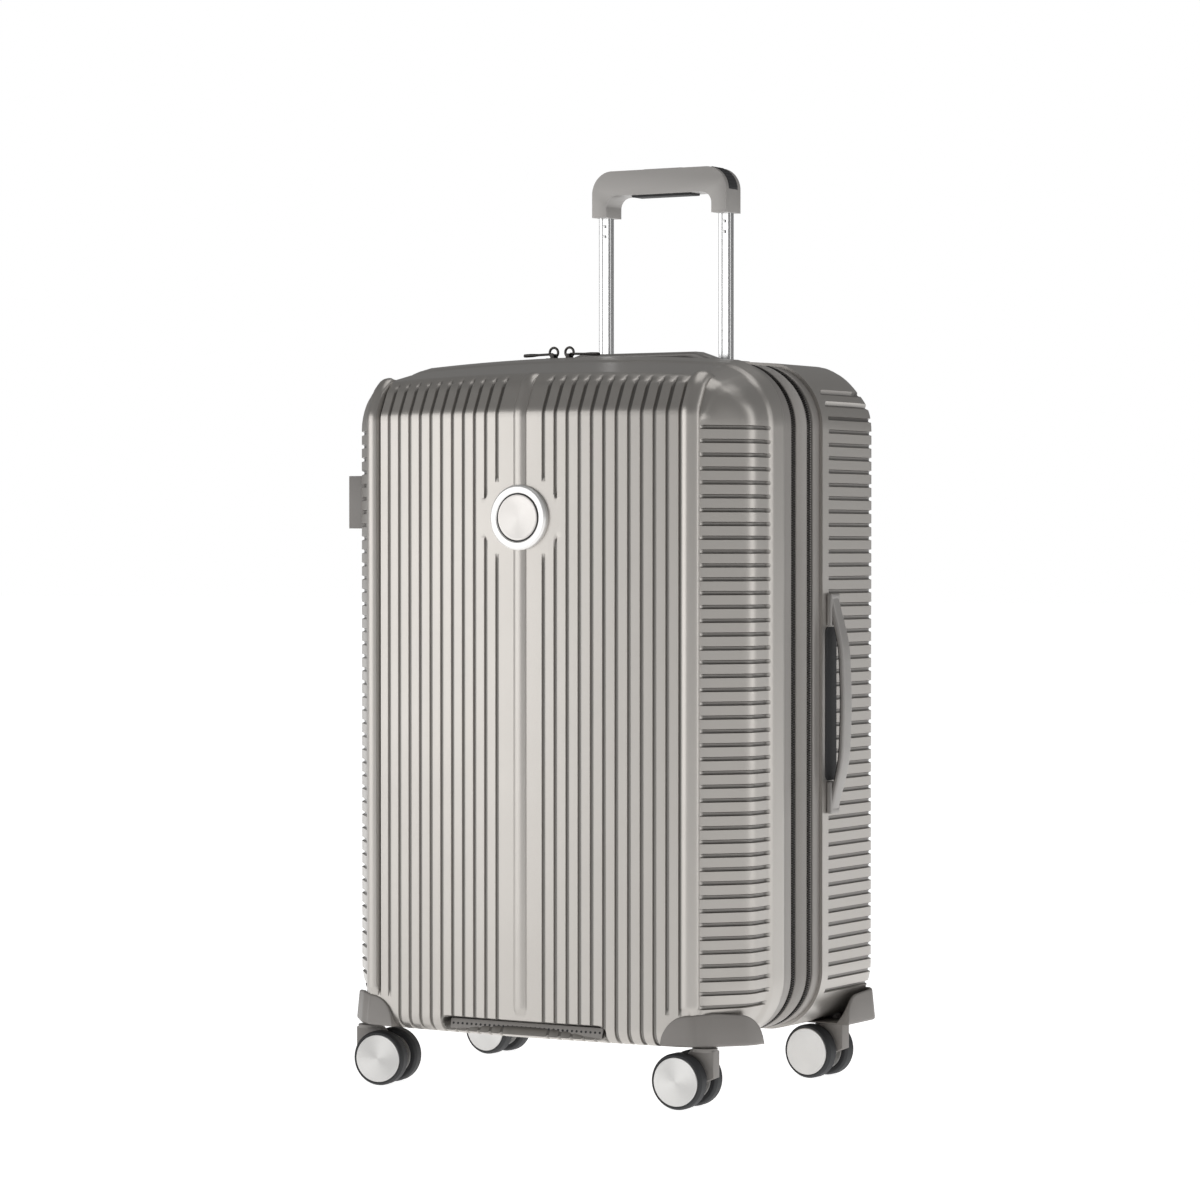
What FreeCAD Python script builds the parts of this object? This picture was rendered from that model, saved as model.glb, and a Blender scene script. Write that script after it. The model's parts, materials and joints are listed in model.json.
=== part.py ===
import FreeCAD, Part

import math
import os

import Sketcher
from FreeCAD import Placement, Rotation, Vector

# A hard shell suitcase on four twin wheel casters, in millimetres.
# +Z is up, the front shell faces -Y, and the origin is on the floor under the middle of the case.

SIZES = {
    # case outline
    "half_width": (214, "middle plane to the flat of a side"),
    "case_bottom": (54, "floor to the underside of the shells"),
    "crown_top": (683, "top of the shells at the middle"),
    "crown_side": (676.5, "top of the shells where the crown meets the shoulder"),
    "crown_half": (168, "half width of the crown"),
    "shoulder_half": (190, "half width at the middle of the shoulder"),
    "shoulder_mid": (665, "height of the middle of the shoulder"),
    "shoulder_low": (617, "height where the shoulder meets the side"),
    "bottom_corner": (58, "radius of the lower side corners"),
    "shell_wall": (3, "shell thickness"),
    "front_y": (-153.4, "front face at the middle"),
    "front_bow": (1266, "radius of the bow of the front face in plan"),
    "front_drop": (18.2, "how far the bow falls back at the sides"),
    "plan_corner": (33, "radius of the upright corners"),
    "bevel_low": (629.4, "height where the front face meets the bevel"),
    "bevel_high": (656, "height where the bevel starts to roll over"),
    "bevel_back": (-140, "depth where the bevel starts to roll over"),
    "roll_high": (665, "height where the top starts to rise to the rim"),
    "roll_back": (-127, "depth where the top starts to rise to the rim"),
    "crown_back": (-48, "depth where the top reaches the rim's height"),
    "front_rim": (-38, "rim plane of the front shell"),
    "rear_rim": (37, "rim plane of the rear shell"),
    "rear_y": (148, "flat back of the rear shell"),
    "back_edge": (30, "radius of the top back edge"),
    "low_edge": (16, "radius of the lower front and back edges"),
    # soft joint between the shells
    "parting": (-12.8, "plane where the lid leaves the body"),
    "chain_gap": (0.4, "gap between the two halves of the zip"),
    "band_thick": (2.5, "thickness of the rims and the fabric bands"),
    "tape_thick": (1.5, "thickness of a zip tape"),
    "band_inset": (3.2, "rims and bands below the outline of the shells"),
    "tape_inset": (4.5, "zip tapes below the outline of the shells"),
    "lid_rim_front": (-46, "front edge of the lid rim"),
    "lid_rim_back": (-18, "back edge of the lid rim"),
    "band_front": (-7.6, "front edge of the fabric band"),
    "band_back": (12, "back edge of the fabric band"),
    "expansion_line": (18, "where the expansion zip parts"),
    "rear_rim_front": (24, "front edge of the rear rim"),
    "rear_rim_back": (45, "back edge of the rear rim"),
    "pleat_depth": (12, "how deep the folded gusset reaches inwards"),
    # casters
    "caster_x": (181, "swivel axis from the middle, across"),
    "caster_y": (127, "swivel axis from the middle, front to back"),
    "trail": (18, "swivel axis to wheel axle"),
    "wheel_radius": (25.6, "outer radius of a tyre"),
    "tyre_inner": (20, "radius where the tyre meets its hub"),
    "wheel_near": (7.5, "inner face of a wheel from the caster's middle"),
    "wheel_far": (23, "outer face of a wheel from the caster's middle"),
    "tyre_edge": (3, "chamfer of a tyre's edges"),
    "axle_radius": (3, "radius of an axle pin"),
    "running_gap": (0.05, "radial clearance of a running fit"),
    "fork_thick": (12, "thickness of a fork's arm"),
    "stem_radius": (11.5, "radius of a fork's stem"),
    "stem_low": (51.7, "underside of a fork's stem"),
    "stem_high": (54.9, "top of a fork's stem, clear of the shell above it"),
    "kingpin_radius": (5, "radius of a fork's kingpin"),
    "kingpin_top": (75, "top of a kingpin"),
    "guard_bottom": (56, "underside of a corner guard"),
    "guard_top": (86, "top of a corner guard"),
    "guard_inner": (136, "inner end of a corner guard, across"),
    "guard_depth": (82, "inner end of a corner guard, front to back"),
    "guard_flare": (6.5, "how far a corner guard stands out of the shell"),
    "guard_corner": (34, "radius of a corner guard's outer corner"),
    "guard_reach": (6.4, "how far the front guards stay behind the front face"),
    "arm_past": (7, "how far a fork's arm reaches past its axle"),
    "arm_rise": (14, "how far the arm's back edge runs straight above its axle"),
    "arm_low": (8, "how far a fork's arm reaches below its axle"),
    "arm_toe": (3, "chamfer of the arm's edges beside its axle"),
    "axle_short": (2, "how far an axle pin's ends stay inside the wheels"),
    "hub_lip": (2, "flat lip of a hub's outer face"),
    "hub_boss": (7.05, "radius of the boss in the middle of a hub"),
    "hub_proud": (0.6, "how far a hub's boss stands out"),
    # trolley handle
    "tube_x": (67, "tube centre from the middle"),
    "tube_y": (117.5, "tube centre, front to back"),
    "inner_wide": (13.3, "inner tube, across"),
    "inner_deep": (9, "inner tube, front to back"),
    "middle_wide": (16.6, "middle tube, across"),
    "middle_deep": (12.2, "middle tube, front to back"),
    "outer_wide": (20, "outer tube, across"),
    "outer_deep": (15.4, "outer tube, front to back"),
    "tube_wall": (1.1, "wall of every tube"),
    "outer_low": (62, "lower end of the outer tubes"),
    "outer_high": (639.5, "upper end of the outer tubes"),
    "middle_low": (250, "lower end of the middle tubes"),
    "middle_high": (646, "upper end of the middle tubes"),
    "inner_low": (480, "lower end of the inner tubes"),
    "inner_high": (845, "upper end of the inner tubes"),
    "grip_low": (827, "lower end of the grip's legs"),
    "grip_bar": (847.5, "underside of the grip's bar"),
    "grip_top": (871.5, "top of the grip"),
    "grip_half": (74.8, "half width of the grip"),
    "grip_leg": (58.6, "inner side of a leg from the middle"),
    "grip_deep": (29, "grip, front to back"),
    "grip_round": (22, "outer corner radius of the grip"),
    "grip_inner_round": (11, "inner corner radius of the grip"),
    "insert_thick": (2.2, "thickness of the rubber corner inserts"),
    "insert_half": (9, "half depth of the rubber corner inserts"),
    "pad_half": (33, "half width of the soft pad"),
    "pad_deep": (20, "soft pad, front to back"),
    "pad_proud": (2, "how far the pad stands out of the bar"),
    "pad_sunk": (2, "how deep the pad is let into the bar"),
    "button_half": (22.5, "half width of the release button"),
    "button_deep": (14, "release button, front to back"),
    "button_proud": (1.2, "how far the button stands out of the grip"),
    "button_low": (865.8, "underside of the release button"),
    "button_travel": (4, "travel of the release button"),
    "button_gap": (0.4, "gap round the release button"),
    "rod_gap": (0.9, "gap round a push rod in the grip"),
    "yoke_thick": (3, "thickness of the yoke and of its stem"),
    "yoke_gap": (1, "gap round the yoke in the grip"),
    "stem_half": (5, "half width of the stem between yoke and button"),
    "rod_radius": (1.5, "radius of a push rod"),
    "rod_low": (500, "lower end of the push rods"),
    "yoke_low": (856.5, "underside of the yoke that joins the push rods"),
    "yoke_high": (860.5, "top of the yoke that joins the push rods"),
    "rivet_radius": (1.6, "radius of a rivet head"),
    "rivet_high": (819, "height of the upper rivet"),
    "rivet_pitch": (10, "distance between the rivets"),
    "rivet_proud": (0.35, "how far a rivet stands out, less than the play of the stages"),
    # tray that the grip sinks into
    "tray_half": (83, "half width of the tray"),
    "tray_front": (98, "front of the tray"),
    "tray_back": (137, "back of the tray"),
    "tray_low": (640, "underside of the tray"),
    "tray_floor": (645, "floor of the tray"),
    "tray_top": (684.5, "top of the tray"),
    "tray_wall": (3.4, "wall of the tray"),
    "tube_gap": (0.4, "gap between a middle tube and the tray, all round"),
    # top carry handle and its pan
    "pan_half": (88, "half width of the pan"),
    "pan_front": (49.5, "front of the pan"),
    "pan_back": (92.5, "back of the pan"),
    "pan_low": (661, "underside of the pan"),
    "pan_top": (683.6, "top of the pan"),
    "pan_wall": (2.5, "wall of the pan"),
    "top_handle_low": (667, "lower end of the top handle's ends"),
    "top_handle_high": (691.5, "top of the top handle"),
    "top_handle_half": (82, "half width of the top handle"),
    "top_handle_deep": (20, "top handle, front to back"),
    "top_handle_foot": (10, "width of each end of the top handle"),
    "top_handle_edge": (6, "height of the top handle's outer chamfers"),
    "top_handle_slope": (18, "width of the top handle's outer chamfers"),
    "top_handle_bar": (6.5, "thickness of the top handle's bar"),
    # side carry handle
    "side_low": (257, "lower end of the lower side mount"),
    "side_high": (462, "upper end of the upper side mount"),
    "mount_tall": (30, "height of a side mount"),
    "mount_proud": (5.5, "how far a side mount stands out"),
    "side_y": (53.5, "middle of the side handle, front to back"),
    "side_deep": (17, "side handle, front to back"),
    "side_out": (233.2, "outermost point of the side handle"),
    "side_thick": (7, "thickness of the side handle's bar"),
    "lug_half": (5, "half depth of a lug"),
    "lug_deep": (13.5, "how deep a lug reaches behind the side's face"),
    "lug_head": (2, "thickness of a lug's hidden head"),
    "lug_margin": (6, "how much shorter a lug is than its mount, each way"),
    "lug_gap": (0.4, "gap between a lug and its slot, all round"),
    "bar_foot": (0.3, "gap between the side handle's bar and its mounts"),
    "bar_short": (2, "how much shorter the bar is than its mounts, each way"),
    "bar_rise": (48, "where the bar's bow starts, from each end"),
    "bar_flat": (80, "where the bar runs straight, from each end"),
    "bar_step": (2, "how far the bar falls back where its bow starts"),
    "bar_root": (22, "thickness of the bar's ends along the case"),
    # combination lock
    "lock_out": (225, "outer face of the lock from the middle"),
    "lock_in": (203, "inner face of the lock from the middle"),
    "lock_front": (-98, "front of the lock"),
    "lock_back": (-62, "back of the lock"),
    "lock_low": (523, "underside of the lock"),
    "lock_high": (573, "top of the lock"),
    "lock_face": (3, "thickness of the lock's face"),
    "dial_radius": (6, "radius of a dial"),
    "dial_thick": (5, "thickness of a dial"),
    "dial_pitch": (8, "distance between dials"),
    "dial_low": (547, "underside of the lowest dial"),
    "dial_x": (-219.2, "axis of the dials, across"),
    "dial_y": (-86, "axis of the dials, front to back"),
    "spindle_radius": (1.5, "radius of the dials' spindle"),
    "catch_travel": (6, "travel of the lock's catch"),
    "catch_tall": (9, "height of the lock's catch"),
    "catch_wide": (9.4, "width of the lock's catch"),
    "catch_low": (5, "underside of the catch's room above the lock's underside"),
    "catch_proud": (0.3, "how far the catch stands out of the lock"),
    "catch_gap": (0.4, "gap round the lock's catch"),
    "window_gap": (1, "gap between the dials and the sides of their window"),
    "window_end": (1.5, "gap between the dials and the ends of their window"),
    "window_wall": (4, "wall behind the dials"),
    "spindle_past": (3, "how far the spindle runs past the dials"),
    "port_wide": (5, "width of a port for a zip pull"),
    "port_tall": (9, "height of a port for a zip pull"),
    "port_deep": (8, "depth of a port for a zip pull"),
    "port_low": (16, "middle of the lower port above the lock's underside"),
    "port_pitch": (18, "distance between the two ports"),
    # medallion on the front
    "medal_z": (532.3, "height of the medallion's centre"),
    "medal_ring": (30, "outer radius of the medallion's ring"),
    "medal_inner": (21.8, "inner radius of the ring"),
    "medal_disc": (21.3, "radius of the medallion's disc"),
    "medal_proud": (2.2, "how far the ring stands out of the front face"),
    "disc_proud": (1.6, "how far the disc stands out of the front face"),
    # grab scoop under the front edge
    "scoop_half": (90, "half width of the grab scoop"),
    "scoop_high": (68, "top of the grab scoop"),
    "scoop_back": (-122, "back of the grab scoop"),
    "scoop_wall": (2.5, "wall of the grab scoop"),
    "scoop_sunk": (4, "how far the scoop's lining stays behind the front face"),
    # lining
    "lining_half": (199.5, "half width of the linings, clear of the side handle's lugs"),
    "lining_low": (62, "underside of the linings"),
    "lining_high": (636, "top of the linings"),
    "lining_wall": (1.6, "thickness of the linings"),
    "lining_round": (38, "corner radius of the linings"),
    "rear_floor": (105, "floor of the rear lining"),
    "lid_floor": (-121, "floor of the lid's lining"),
    "lining_front": (48, "mouth of the rear lining"),
    "lining_back": (-48, "mouth of the lid's lining"),
    "strap_wide": (38, "width of a packing strap"),
    "strap_z": (205, "height of the lower packing strap"),
    "strap_pitch": (250, "distance between the packing straps"),
    "strap_gap": (0.3, "gap between a strap's ends and the lining"),
    "buckle_half": (24, "half width of a buckle"),
    "buckle_thick": (6.5, "thickness of a buckle"),
    "buckle_past": (4, "how far a buckle is taller than its strap, each way"),
    "strap_thick": (2, "thickness of a packing strap"),
    "strap_y": (50, "front face of the packing straps"),
    # zip sliders and pulls
    "slider_x": (-36, "middle between the two sliders"),
    "slider_pitch": (17, "distance between the two sliders"),
    "slider_long": (13, "length of a slider"),
    "slider_wide": (9, "width of a slider"),
    "slider_low": (679.8, "underside of a slider on the crown"),
    "slider_tall": (4.5, "height of a slider"),
    "slider_y": (-17.9, "middle of a slider, front to back"),
    "bridge_radius": (1, "radius of the pin that a pull hangs on"),
    "bridge_long": (7, "length of that pin"),
    "cheek_long": (4, "length of a cheek that holds the pin"),
    "cheek_thick": (1.4, "thickness of a cheek"),
    "cheek_y": (3.1, "middle of a cheek from the middle of its slider"),
    "pull_pin_z": (687, "height of a pull's pivot"),
    "pull_long": (36, "length of a pull"),
    "pull_past": (1.9, "how far a pull reaches past its pivot"),
    "pull_wide": (4.2, "width of a pull"),
    "pull_thick": (3, "thickness of a pull"),
}
# How far each caster is swung at rest, counter-clockwise, from trailing towards -X.
CASTER_SWING = {
    "front_left": 189.0,
    "front_right": 2.0,
    "rear_left": -4.0,
    "rear_right": -5.0,
}
DIRECTIONS = {
    "x": Rotation(Vector(0, 1, 0), 90),
    "y": Rotation(Vector(1, 0, 0), -90),
    "z": Rotation(),
}
PAST = 5.0  # how far a cutting tool runs past a face
RETAINING_HEAD = 3.0  # how much wider a lug's hidden head is
GUARD_TAPER = -13.0  # how far a corner guard's walls lean in towards the shell, in degrees

doc = FreeCAD.newDocument("hard_shell_suitcase")
sheet = doc.addObject("Spreadsheet::Sheet", "Sizes")


class Dim:
    """A length that knows its value and the sheet expression that gives it."""

    def __init__(self, value, text):
        self.value = float(value)
        self.text = text

    def __add__(self, other):
        other = dim(other)
        return Dim(self.value + other.value, "(%s + %s)" % (self.text, other.text))

    def __sub__(self, other):
        other = dim(other)
        return Dim(self.value - other.value, "(%s - %s)" % (self.text, other.text))

    def __mul__(self, other):
        other = dim(other)
        return Dim(self.value * other.value, "(%s * %s)" % (self.text, other.text))

    def __truediv__(self, other):
        other = dim(other)
        return Dim(self.value / other.value, "(%s / %s)" % (self.text, other.text))

    def __neg__(self):
        return Dim(-self.value, "(-1 * %s)" % self.text)

    def __radd__(self, other):
        return dim(other) + self

    def __rsub__(self, other):
        return dim(other) - self

    def __rmul__(self, other):
        return dim(other) * self


def dim(number):
    """The number as a Dim."""
    return number if isinstance(number, Dim) else Dim(number, "(%.6g)" % number)


def size(name):
    """The driving dimension of that name."""
    return Dim(SIZES[name][0], "Sizes.%s" % name)


def fill_sheet():
    """Writes each driving dimension, its alias and what it means into the sheet."""
    for row, (name, (value, meaning)) in enumerate(SIZES.items(), start=1):
        sheet.set("A%d" % row, name)
        sheet.set("B%d" % row, str(value))
        sheet.setAlias("B%d" % row, name)
        sheet.set("C%d" % row, meaning)
    doc.recompute()


def bind(thing, prop, number):
    """Ties one property of an object to the sheet."""
    thing.setExpression(prop, dim(number).text)


def block(name, xs, ys, zs):
    """A box between (low, high) pairs along X, Y and Z."""
    box = doc.addObject("Part::Box", name)
    for prop, axis, (low, high) in zip(("Length", "Width", "Height"), "xyz", (xs, ys, zs)):
        bind(box, prop, dim(high) - low)
        bind(box, "Placement.Base." + axis, low)
    return box


def rod(name, radius, start, length, direction="z"):
    """A cylinder that runs from its start along +X, +Y or +Z."""
    cylinder = doc.addObject("Part::Cylinder", name)
    bind(cylinder, "Radius", radius)
    bind(cylinder, "Height", length)
    cylinder.Placement.Rotation = DIRECTIONS[direction]
    for axis, number in zip("xyz", start):
        bind(cylinder, "Placement.Base." + axis, number)
    return cylinder


def cut(name, base, *tools):
    """The base without its tools."""
    result = doc.addObject("Part::Cut", name)
    result.Base = base
    result.Tool = tools[0] if len(tools) == 1 else fuse(name + "_tools", *tools)
    return result


def fuse(name, *shapes):
    """All the shapes as one."""
    result = doc.addObject("Part::MultiFuse", name)
    result.Shapes = list(shapes)
    return result


def common(name, *shapes):
    """What all the shapes share."""
    result = doc.addObject("Part::MultiCommon", name)
    result.Shapes = list(shapes)
    return result


def group(name, *shapes):
    """Several separate solids in one node."""
    result = doc.addObject("Part::Compound", name)
    result.Links = list(shapes)
    return result


def origin_plane(body, role):
    """The body's own origin plane of that role, such as XY_Plane."""
    return next(f for f in body.Origin.OriginFeatures if f.Role == role)


def outline_sketch(body, name, plane, outline, offset, bows=()):
    """A closed outline on an origin plane, every corner tied to the sheet.

    bows gives, for the side that starts at a corner, the radius of its arc and which way it bows.
    """
    sketch = body.newObject("Sketcher::SketchObject", name)
    sketch.AttachmentSupport = [(origin_plane(body, plane), "")]
    sketch.MapMode = "FlatFace"
    bind(sketch, "AttachmentOffset.Base.z", offset)
    corners = [(dim(u), dim(v)) for u, v in outline]
    count = len(corners)
    bows = dict(bows)
    for i, (u, v) in enumerate(corners):
        start = Vector(u.value, v.value, 0)
        end = Vector(corners[(i + 1) % count][0].value, corners[(i + 1) % count][1].value, 0)
        if i not in bows:
            sketch.addGeometry(Part.LineSegment(start, end), False)
            continue
        radius, way = bows[i]
        chord = end - start
        rise = radius.value - math.sqrt(radius.value**2 - (chord.Length / 2) ** 2)
        across = Vector(chord.y, -chord.x, 0).normalize()
        arc = Part.Arc(start, (start + end) * 0.5 + across * rise * way, end)
        sketch.addGeometry(arc, False)
    for i in range(count):
        a, b = sketch.Geometry[i], sketch.Geometry[(i + 1) % count]
        pair = min(
            ((p, q) for p in (1, 2) for q in (1, 2)),
            key=lambda pq: (end_of(a, pq[0]) - end_of(b, pq[1])).Length,
        )
        sketch.addConstraint(Sketcher.Constraint("Coincident", i, pair[0], (i + 1) % count, pair[1]))
    for i, (u, v) in enumerate(corners):
        here = Vector(u.value, v.value, 0)
        which = min((1, 2), key=lambda p: (end_of(sketch.Geometry[i], p) - here).Length)
        for kind, number in (("DistanceX", u), ("DistanceY", v)):
            n = sketch.addConstraint(Sketcher.Constraint(kind, -1, 1, i, which, number.value))
            bind(sketch, "Constraints[%d]" % n, number)
    for i, (radius, _way) in bows.items():
        n = sketch.addConstraint(Sketcher.Constraint("Radius", i, radius.value))
        bind(sketch, "Constraints[%d]" % n, radius)
    return sketch


def end_of(edge, which):
    """The start (1) or the end (2) of a sketched line or arc."""
    return edge.StartPoint if which == 1 else edge.EndPoint


def circle_sketch(body, name, plane, centre, radius, offset):
    """One circle on an origin plane."""
    sketch = body.newObject("Sketcher::SketchObject", name)
    sketch.AttachmentSupport = [(origin_plane(body, plane), "")]
    sketch.MapMode = "FlatFace"
    bind(sketch, "AttachmentOffset.Base.z", offset)
    u, v, r = dim(centre[0]), dim(centre[1]), dim(radius)
    sketch.addGeometry(Part.Circle(Vector(u.value, v.value, 0), Vector(0, 0, 1), r.value), False)
    n = sketch.addConstraint(Sketcher.Constraint("Radius", 0, r.value))
    bind(sketch, "Constraints[%d]" % n, r)
    for kind, number in (("DistanceX", u), ("DistanceY", v)):
        n = sketch.addConstraint(Sketcher.Constraint(kind, -1, 1, 0, 3, number.value))
        bind(sketch, "Constraints[%d]" % n, number)
    return sketch


def pad(body, name, sketch, length):
    """A pad of a sketch along its own normal: -Y on XZ_Plane, +Z on XY_Plane, +X on YZ_Plane."""
    feature = body.newObject("PartDesign::Pad", name)
    feature.Profile = sketch
    bind(feature, "Length", length)
    return feature


def prism(name, plane, outline, low, high, rounds=(), bows=(), taper=0.0):
    """A body padded from low to high along Y, Z or X, its corners rounded as rounds says.

    rounds holds (corner number, radius) pairs for the edges that run along the pad.
    """
    low, high = dim(low), dim(high)
    body = doc.addObject("PartDesign::Body", name)
    offset = -high if plane == "XZ_Plane" else low
    sketch = outline_sketch(body, name + "_outline", plane, outline, offset, bows)
    solid = pad(body, name + "_pad", sketch, high - low)
    if taper:
        solid.TaperAngle = taper
    doc.recompute()
    for n, (corner, radius) in enumerate(rounds):
        u, v = (dim(k).value for k in outline[corner])
        fillet = body.newObject("PartDesign::Fillet", "%s_round%d" % (name, n))
        fillet.Base = (solid, [edge_at(solid.Shape, plane, u, v)])
        bind(fillet, "Radius", radius)
        doc.recompute()
        solid = fillet
    body.Tip = solid
    return body


def edge_at(shape, plane, u, v):
    """The name of the edge that leaves the sketch plane at (u, v)."""
    first, second, along = {"XZ_Plane": "xzy", "XY_Plane": "xyz", "YZ_Plane": "yzx"}[plane]

    def miss(edge):
        a, b = edge.Vertexes[0].Point, edge.Vertexes[-1].Point
        if abs(getattr(a, along) - getattr(b, along)) < 1.0:
            return math.inf
        return min(
            math.hypot(getattr(p, first) - u, getattr(p, second) - v) for p in (a, b)
        )

    best = min(range(len(shape.Edges)), key=lambda i: miss(shape.Edges[i]))
    return "Edge%d" % (best + 1)


def both_sides(half):
    """(-half, half)."""
    return (-dim(half), dim(half))


def around(centre, width):
    """The (low, high) pair of that width about a centre."""
    return (dim(centre) - dim(width) / 2, dim(centre) + dim(width) / 2)


# ---------------------------------------------------------------- shells and bands


def face_outline(inset):
    """The case seen from the front, moved inwards by inset, and its corner rounds."""
    inset = dim(inset)
    side = size("half_width") - inset
    bottom = size("case_bottom") + inset
    right = [
        (side, bottom),
        (side, size("shoulder_low") - inset * 0.4),
        (size("shoulder_half") - inset * 0.8, size("shoulder_mid") - inset * 0.7),
        (size("crown_half") - inset * 0.3, size("crown_side") - inset),
    ]
    left = [(-u, v) for u, v in reversed(right)]
    half = right[3][0]
    rise = size("crown_top") - size("crown_side")
    bow = (half * half + rise * rise) / (rise * 2)
    radius = size("bottom_corner") - inset
    rounds = [(0, radius), (7, radius)]
    return right + left, rounds, {3: (bow, 1)}


def face_prism(name, inset, low, high):
    """The case's front outline as a prism along Y."""
    outline, rounds, bows = face_outline(inset)
    return prism(name, "XZ_Plane", outline, low, high, rounds, bows)


def front_solid(name, inset, back):
    """The closed outer or inner form of the front shell, from its bowed face to the plane back."""
    inset = dim(inset)
    side = size("half_width") - inset
    corner_y = size("front_y") + size("front_drop") + inset
    plan = prism(
        name + "_plan",
        "XY_Plane",
        [(side, back), (-side, back), (-side, corner_y), (side, corner_y)],
        size("case_bottom") - PAST,
        size("crown_top") + PAST,
        rounds=[(2, size("plan_corner") - inset), (3, size("plan_corner") - inset)],
        bows={2: (size("front_bow"), 1)},
    )
    face = size("front_y") + inset
    bottom = size("case_bottom") + inset
    level = size("crown_top") + PAST - inset
    profile = prism(
        name + "_profile",
        "YZ_Plane",
        [
            (back, bottom),
            (back, level),
            (size("crown_back"), level),
            (size("roll_back") + inset * 0.4, size("roll_high") - inset),
            (size("bevel_back") + inset * 0.8, size("bevel_high") - inset * 0.7),
            (face, size("bevel_low") - inset * 0.3),
            (face, bottom),
        ],
        -size("half_width") - PAST,
        size("half_width") + PAST,
        rounds=[(6, size("low_edge") - inset)],
    )
    outline = face_prism(name + "_face", inset, size("front_y") - PAST, dim(back))
    return common(name, plan, profile, outline)


def rear_solid(name, inset, front):
    """The closed outer or inner form of the rear shell, from the plane front to its flat back."""
    inset = dim(inset)
    side = size("half_width") - inset
    back = size("rear_y") - inset
    plan = prism(
        name + "_plan",
        "XY_Plane",
        [(side, back), (-side, back), (-side, front), (side, front)],
        size("case_bottom") - PAST,
        size("crown_top") + PAST,
        rounds=[(0, size("plan_corner") - inset), (1, size("plan_corner") - inset)],
    )
    top = size("crown_top") - inset
    bottom = size("case_bottom") + inset
    profile = prism(
        name + "_profile",
        "YZ_Plane",
        [(front, bottom), (back, bottom), (back, top), (front, top)],
        -size("half_width") - PAST,
        size("half_width") + PAST,
        rounds=[(1, size("low_edge") - inset), (2, size("back_edge") - inset)],
    )
    outline = face_prism(name + "_face", inset, dim(front), size("rear_y") + PAST)
    return common(name, plan, profile, outline)


def band(name, inset, thick, low, high):
    """A hoop that follows the case's outline, between two planes across Y."""
    outer = face_prism(name + "_outer", inset, low, high)
    inner = face_prism(name + "_inner", dim(inset) + thick, dim(low) - 1, dim(high) + 1)
    return cut(name, outer, inner)


def guard_outline(side, end):
    """Plan of a corner guard at its foot: side is -1 or 1 across, end is -1 or 1 front to back."""
    outer_x = (size("half_width") + size("guard_flare")) * side
    reach = size("rear_y") if end > 0 else -size("front_y") - size("guard_reach")
    outer_y = (reach + size("guard_flare")) * end
    inner_x = size("guard_inner") * side
    inner_y = size("guard_depth") * end
    return [(inner_x, inner_y), (outer_x, inner_y), (outer_x, outer_y), (inner_x, outer_y)]


def guard_blank(name, side, end):
    """The outer form of a corner guard: wide at its foot and drawn in towards the shell."""
    outline = guard_outline(side, end)
    outer_corner = outline[2]
    if side * end < 0:
        outline.reverse()
    return prism(
        name,
        "XY_Plane",
        outline,
        size("guard_bottom"),
        size("guard_top"),
        rounds=[(outline.index(outer_corner), size("guard_corner"))],
        taper=GUARD_TAPER,
    )


def corners():
    """Each corner's name, its side (-1 left, 1 right) and its end (-1 front, 1 rear)."""
    for end_name, end in (("front", -1), ("rear", 1)):
        for side_name, side in (("left", -1), ("right", 1)):
            yield "%s_%s" % (end_name, side_name), side, end


def corner_guards():
    """Both pairs of corner guards, bored for the casters' kingpins."""
    made = {"front": [], "rear": []}
    for corner, side, end in corners():
        blank = guard_blank("guard_%s" % corner, side, end)
        bore = rod(
            "guard_bore_%s" % corner,
            size("kingpin_radius") + size("running_gap"),
            (size("caster_x") * side, size("caster_y") * end, size("guard_bottom") - PAST),
            size("kingpin_top") - size("guard_bottom") + PAST * 1.2,
        )
        made[corner.split("_")[0]].append(cut("guard_bored_%s" % corner, blank, bore))
    return [group("front_corner_guards", *made["front"]), group("rear_corner_guards", *made["rear"])]


def guard_tools(name, end):
    """The room that the two corner guards of one end take out of a shell or a lining."""
    return [guard_blank("%s_tool_%d" % (name, side), side, end) for side in (-1, 1)]


def scoop_block(name, inset, past=0.0):
    """The grab scoop's outer form, moved inwards by inset, open to the front and below."""
    inset = dim(inset)
    return block(
        name,
        both_sides(size("scoop_half") - inset),
        (size("front_y") - PAST - past, size("scoop_back") - inset),
        (size("case_bottom") - PAST - past, size("scoop_high") - inset),
    )


def lock_block(name, gap=0.0):
    """The outer form of the combination lock."""
    return block(
        name,
        (-size("lock_out") - gap, -size("lock_in") + gap),
        (size("lock_front") - gap, size("lock_back") + gap),
        (size("lock_low") - gap, size("lock_high") + gap),
    )


def front_shell():
    """The front half of the case, which opens as the lid."""
    outer = front_solid("front_shell_outer", 0, size("front_rim"))
    inner = front_solid("front_shell_inner", size("shell_wall"), size("front_rim") + 1)
    return cut(
        "front_shell",
        outer,
        inner,
        *guard_tools("front_shell", -1),
        scoop_block("front_shell_scoop", 0),
        lock_block("front_shell_lock"),
    )


def tray_block(name, inset, low):
    """The tray's outer or inner form, from a height up past its top."""
    inset = dim(inset)
    return block(
        name,
        both_sides(size("tray_half") - inset),
        (size("tray_front") + inset, size("tray_back") - inset),
        (low, size("tray_top") + (PAST if inset.value else 0)),
    )


def pan_block(name, inset, low):
    """The pan's outer or inner form, from a height up past its top."""
    inset = dim(inset)
    return block(
        name,
        both_sides(size("pan_half") - inset),
        (size("pan_front") + inset, size("pan_back") - inset),
        (low, size("pan_top") + (PAST if inset.value else 0)),
    )


def side_mount_spans():
    """(low, high) heights of the two mounts of the side handle."""
    return [
        (size("side_low"), size("side_low") + size("mount_tall")),
        (size("side_high") - size("mount_tall"), size("side_high")),
    ]


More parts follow.
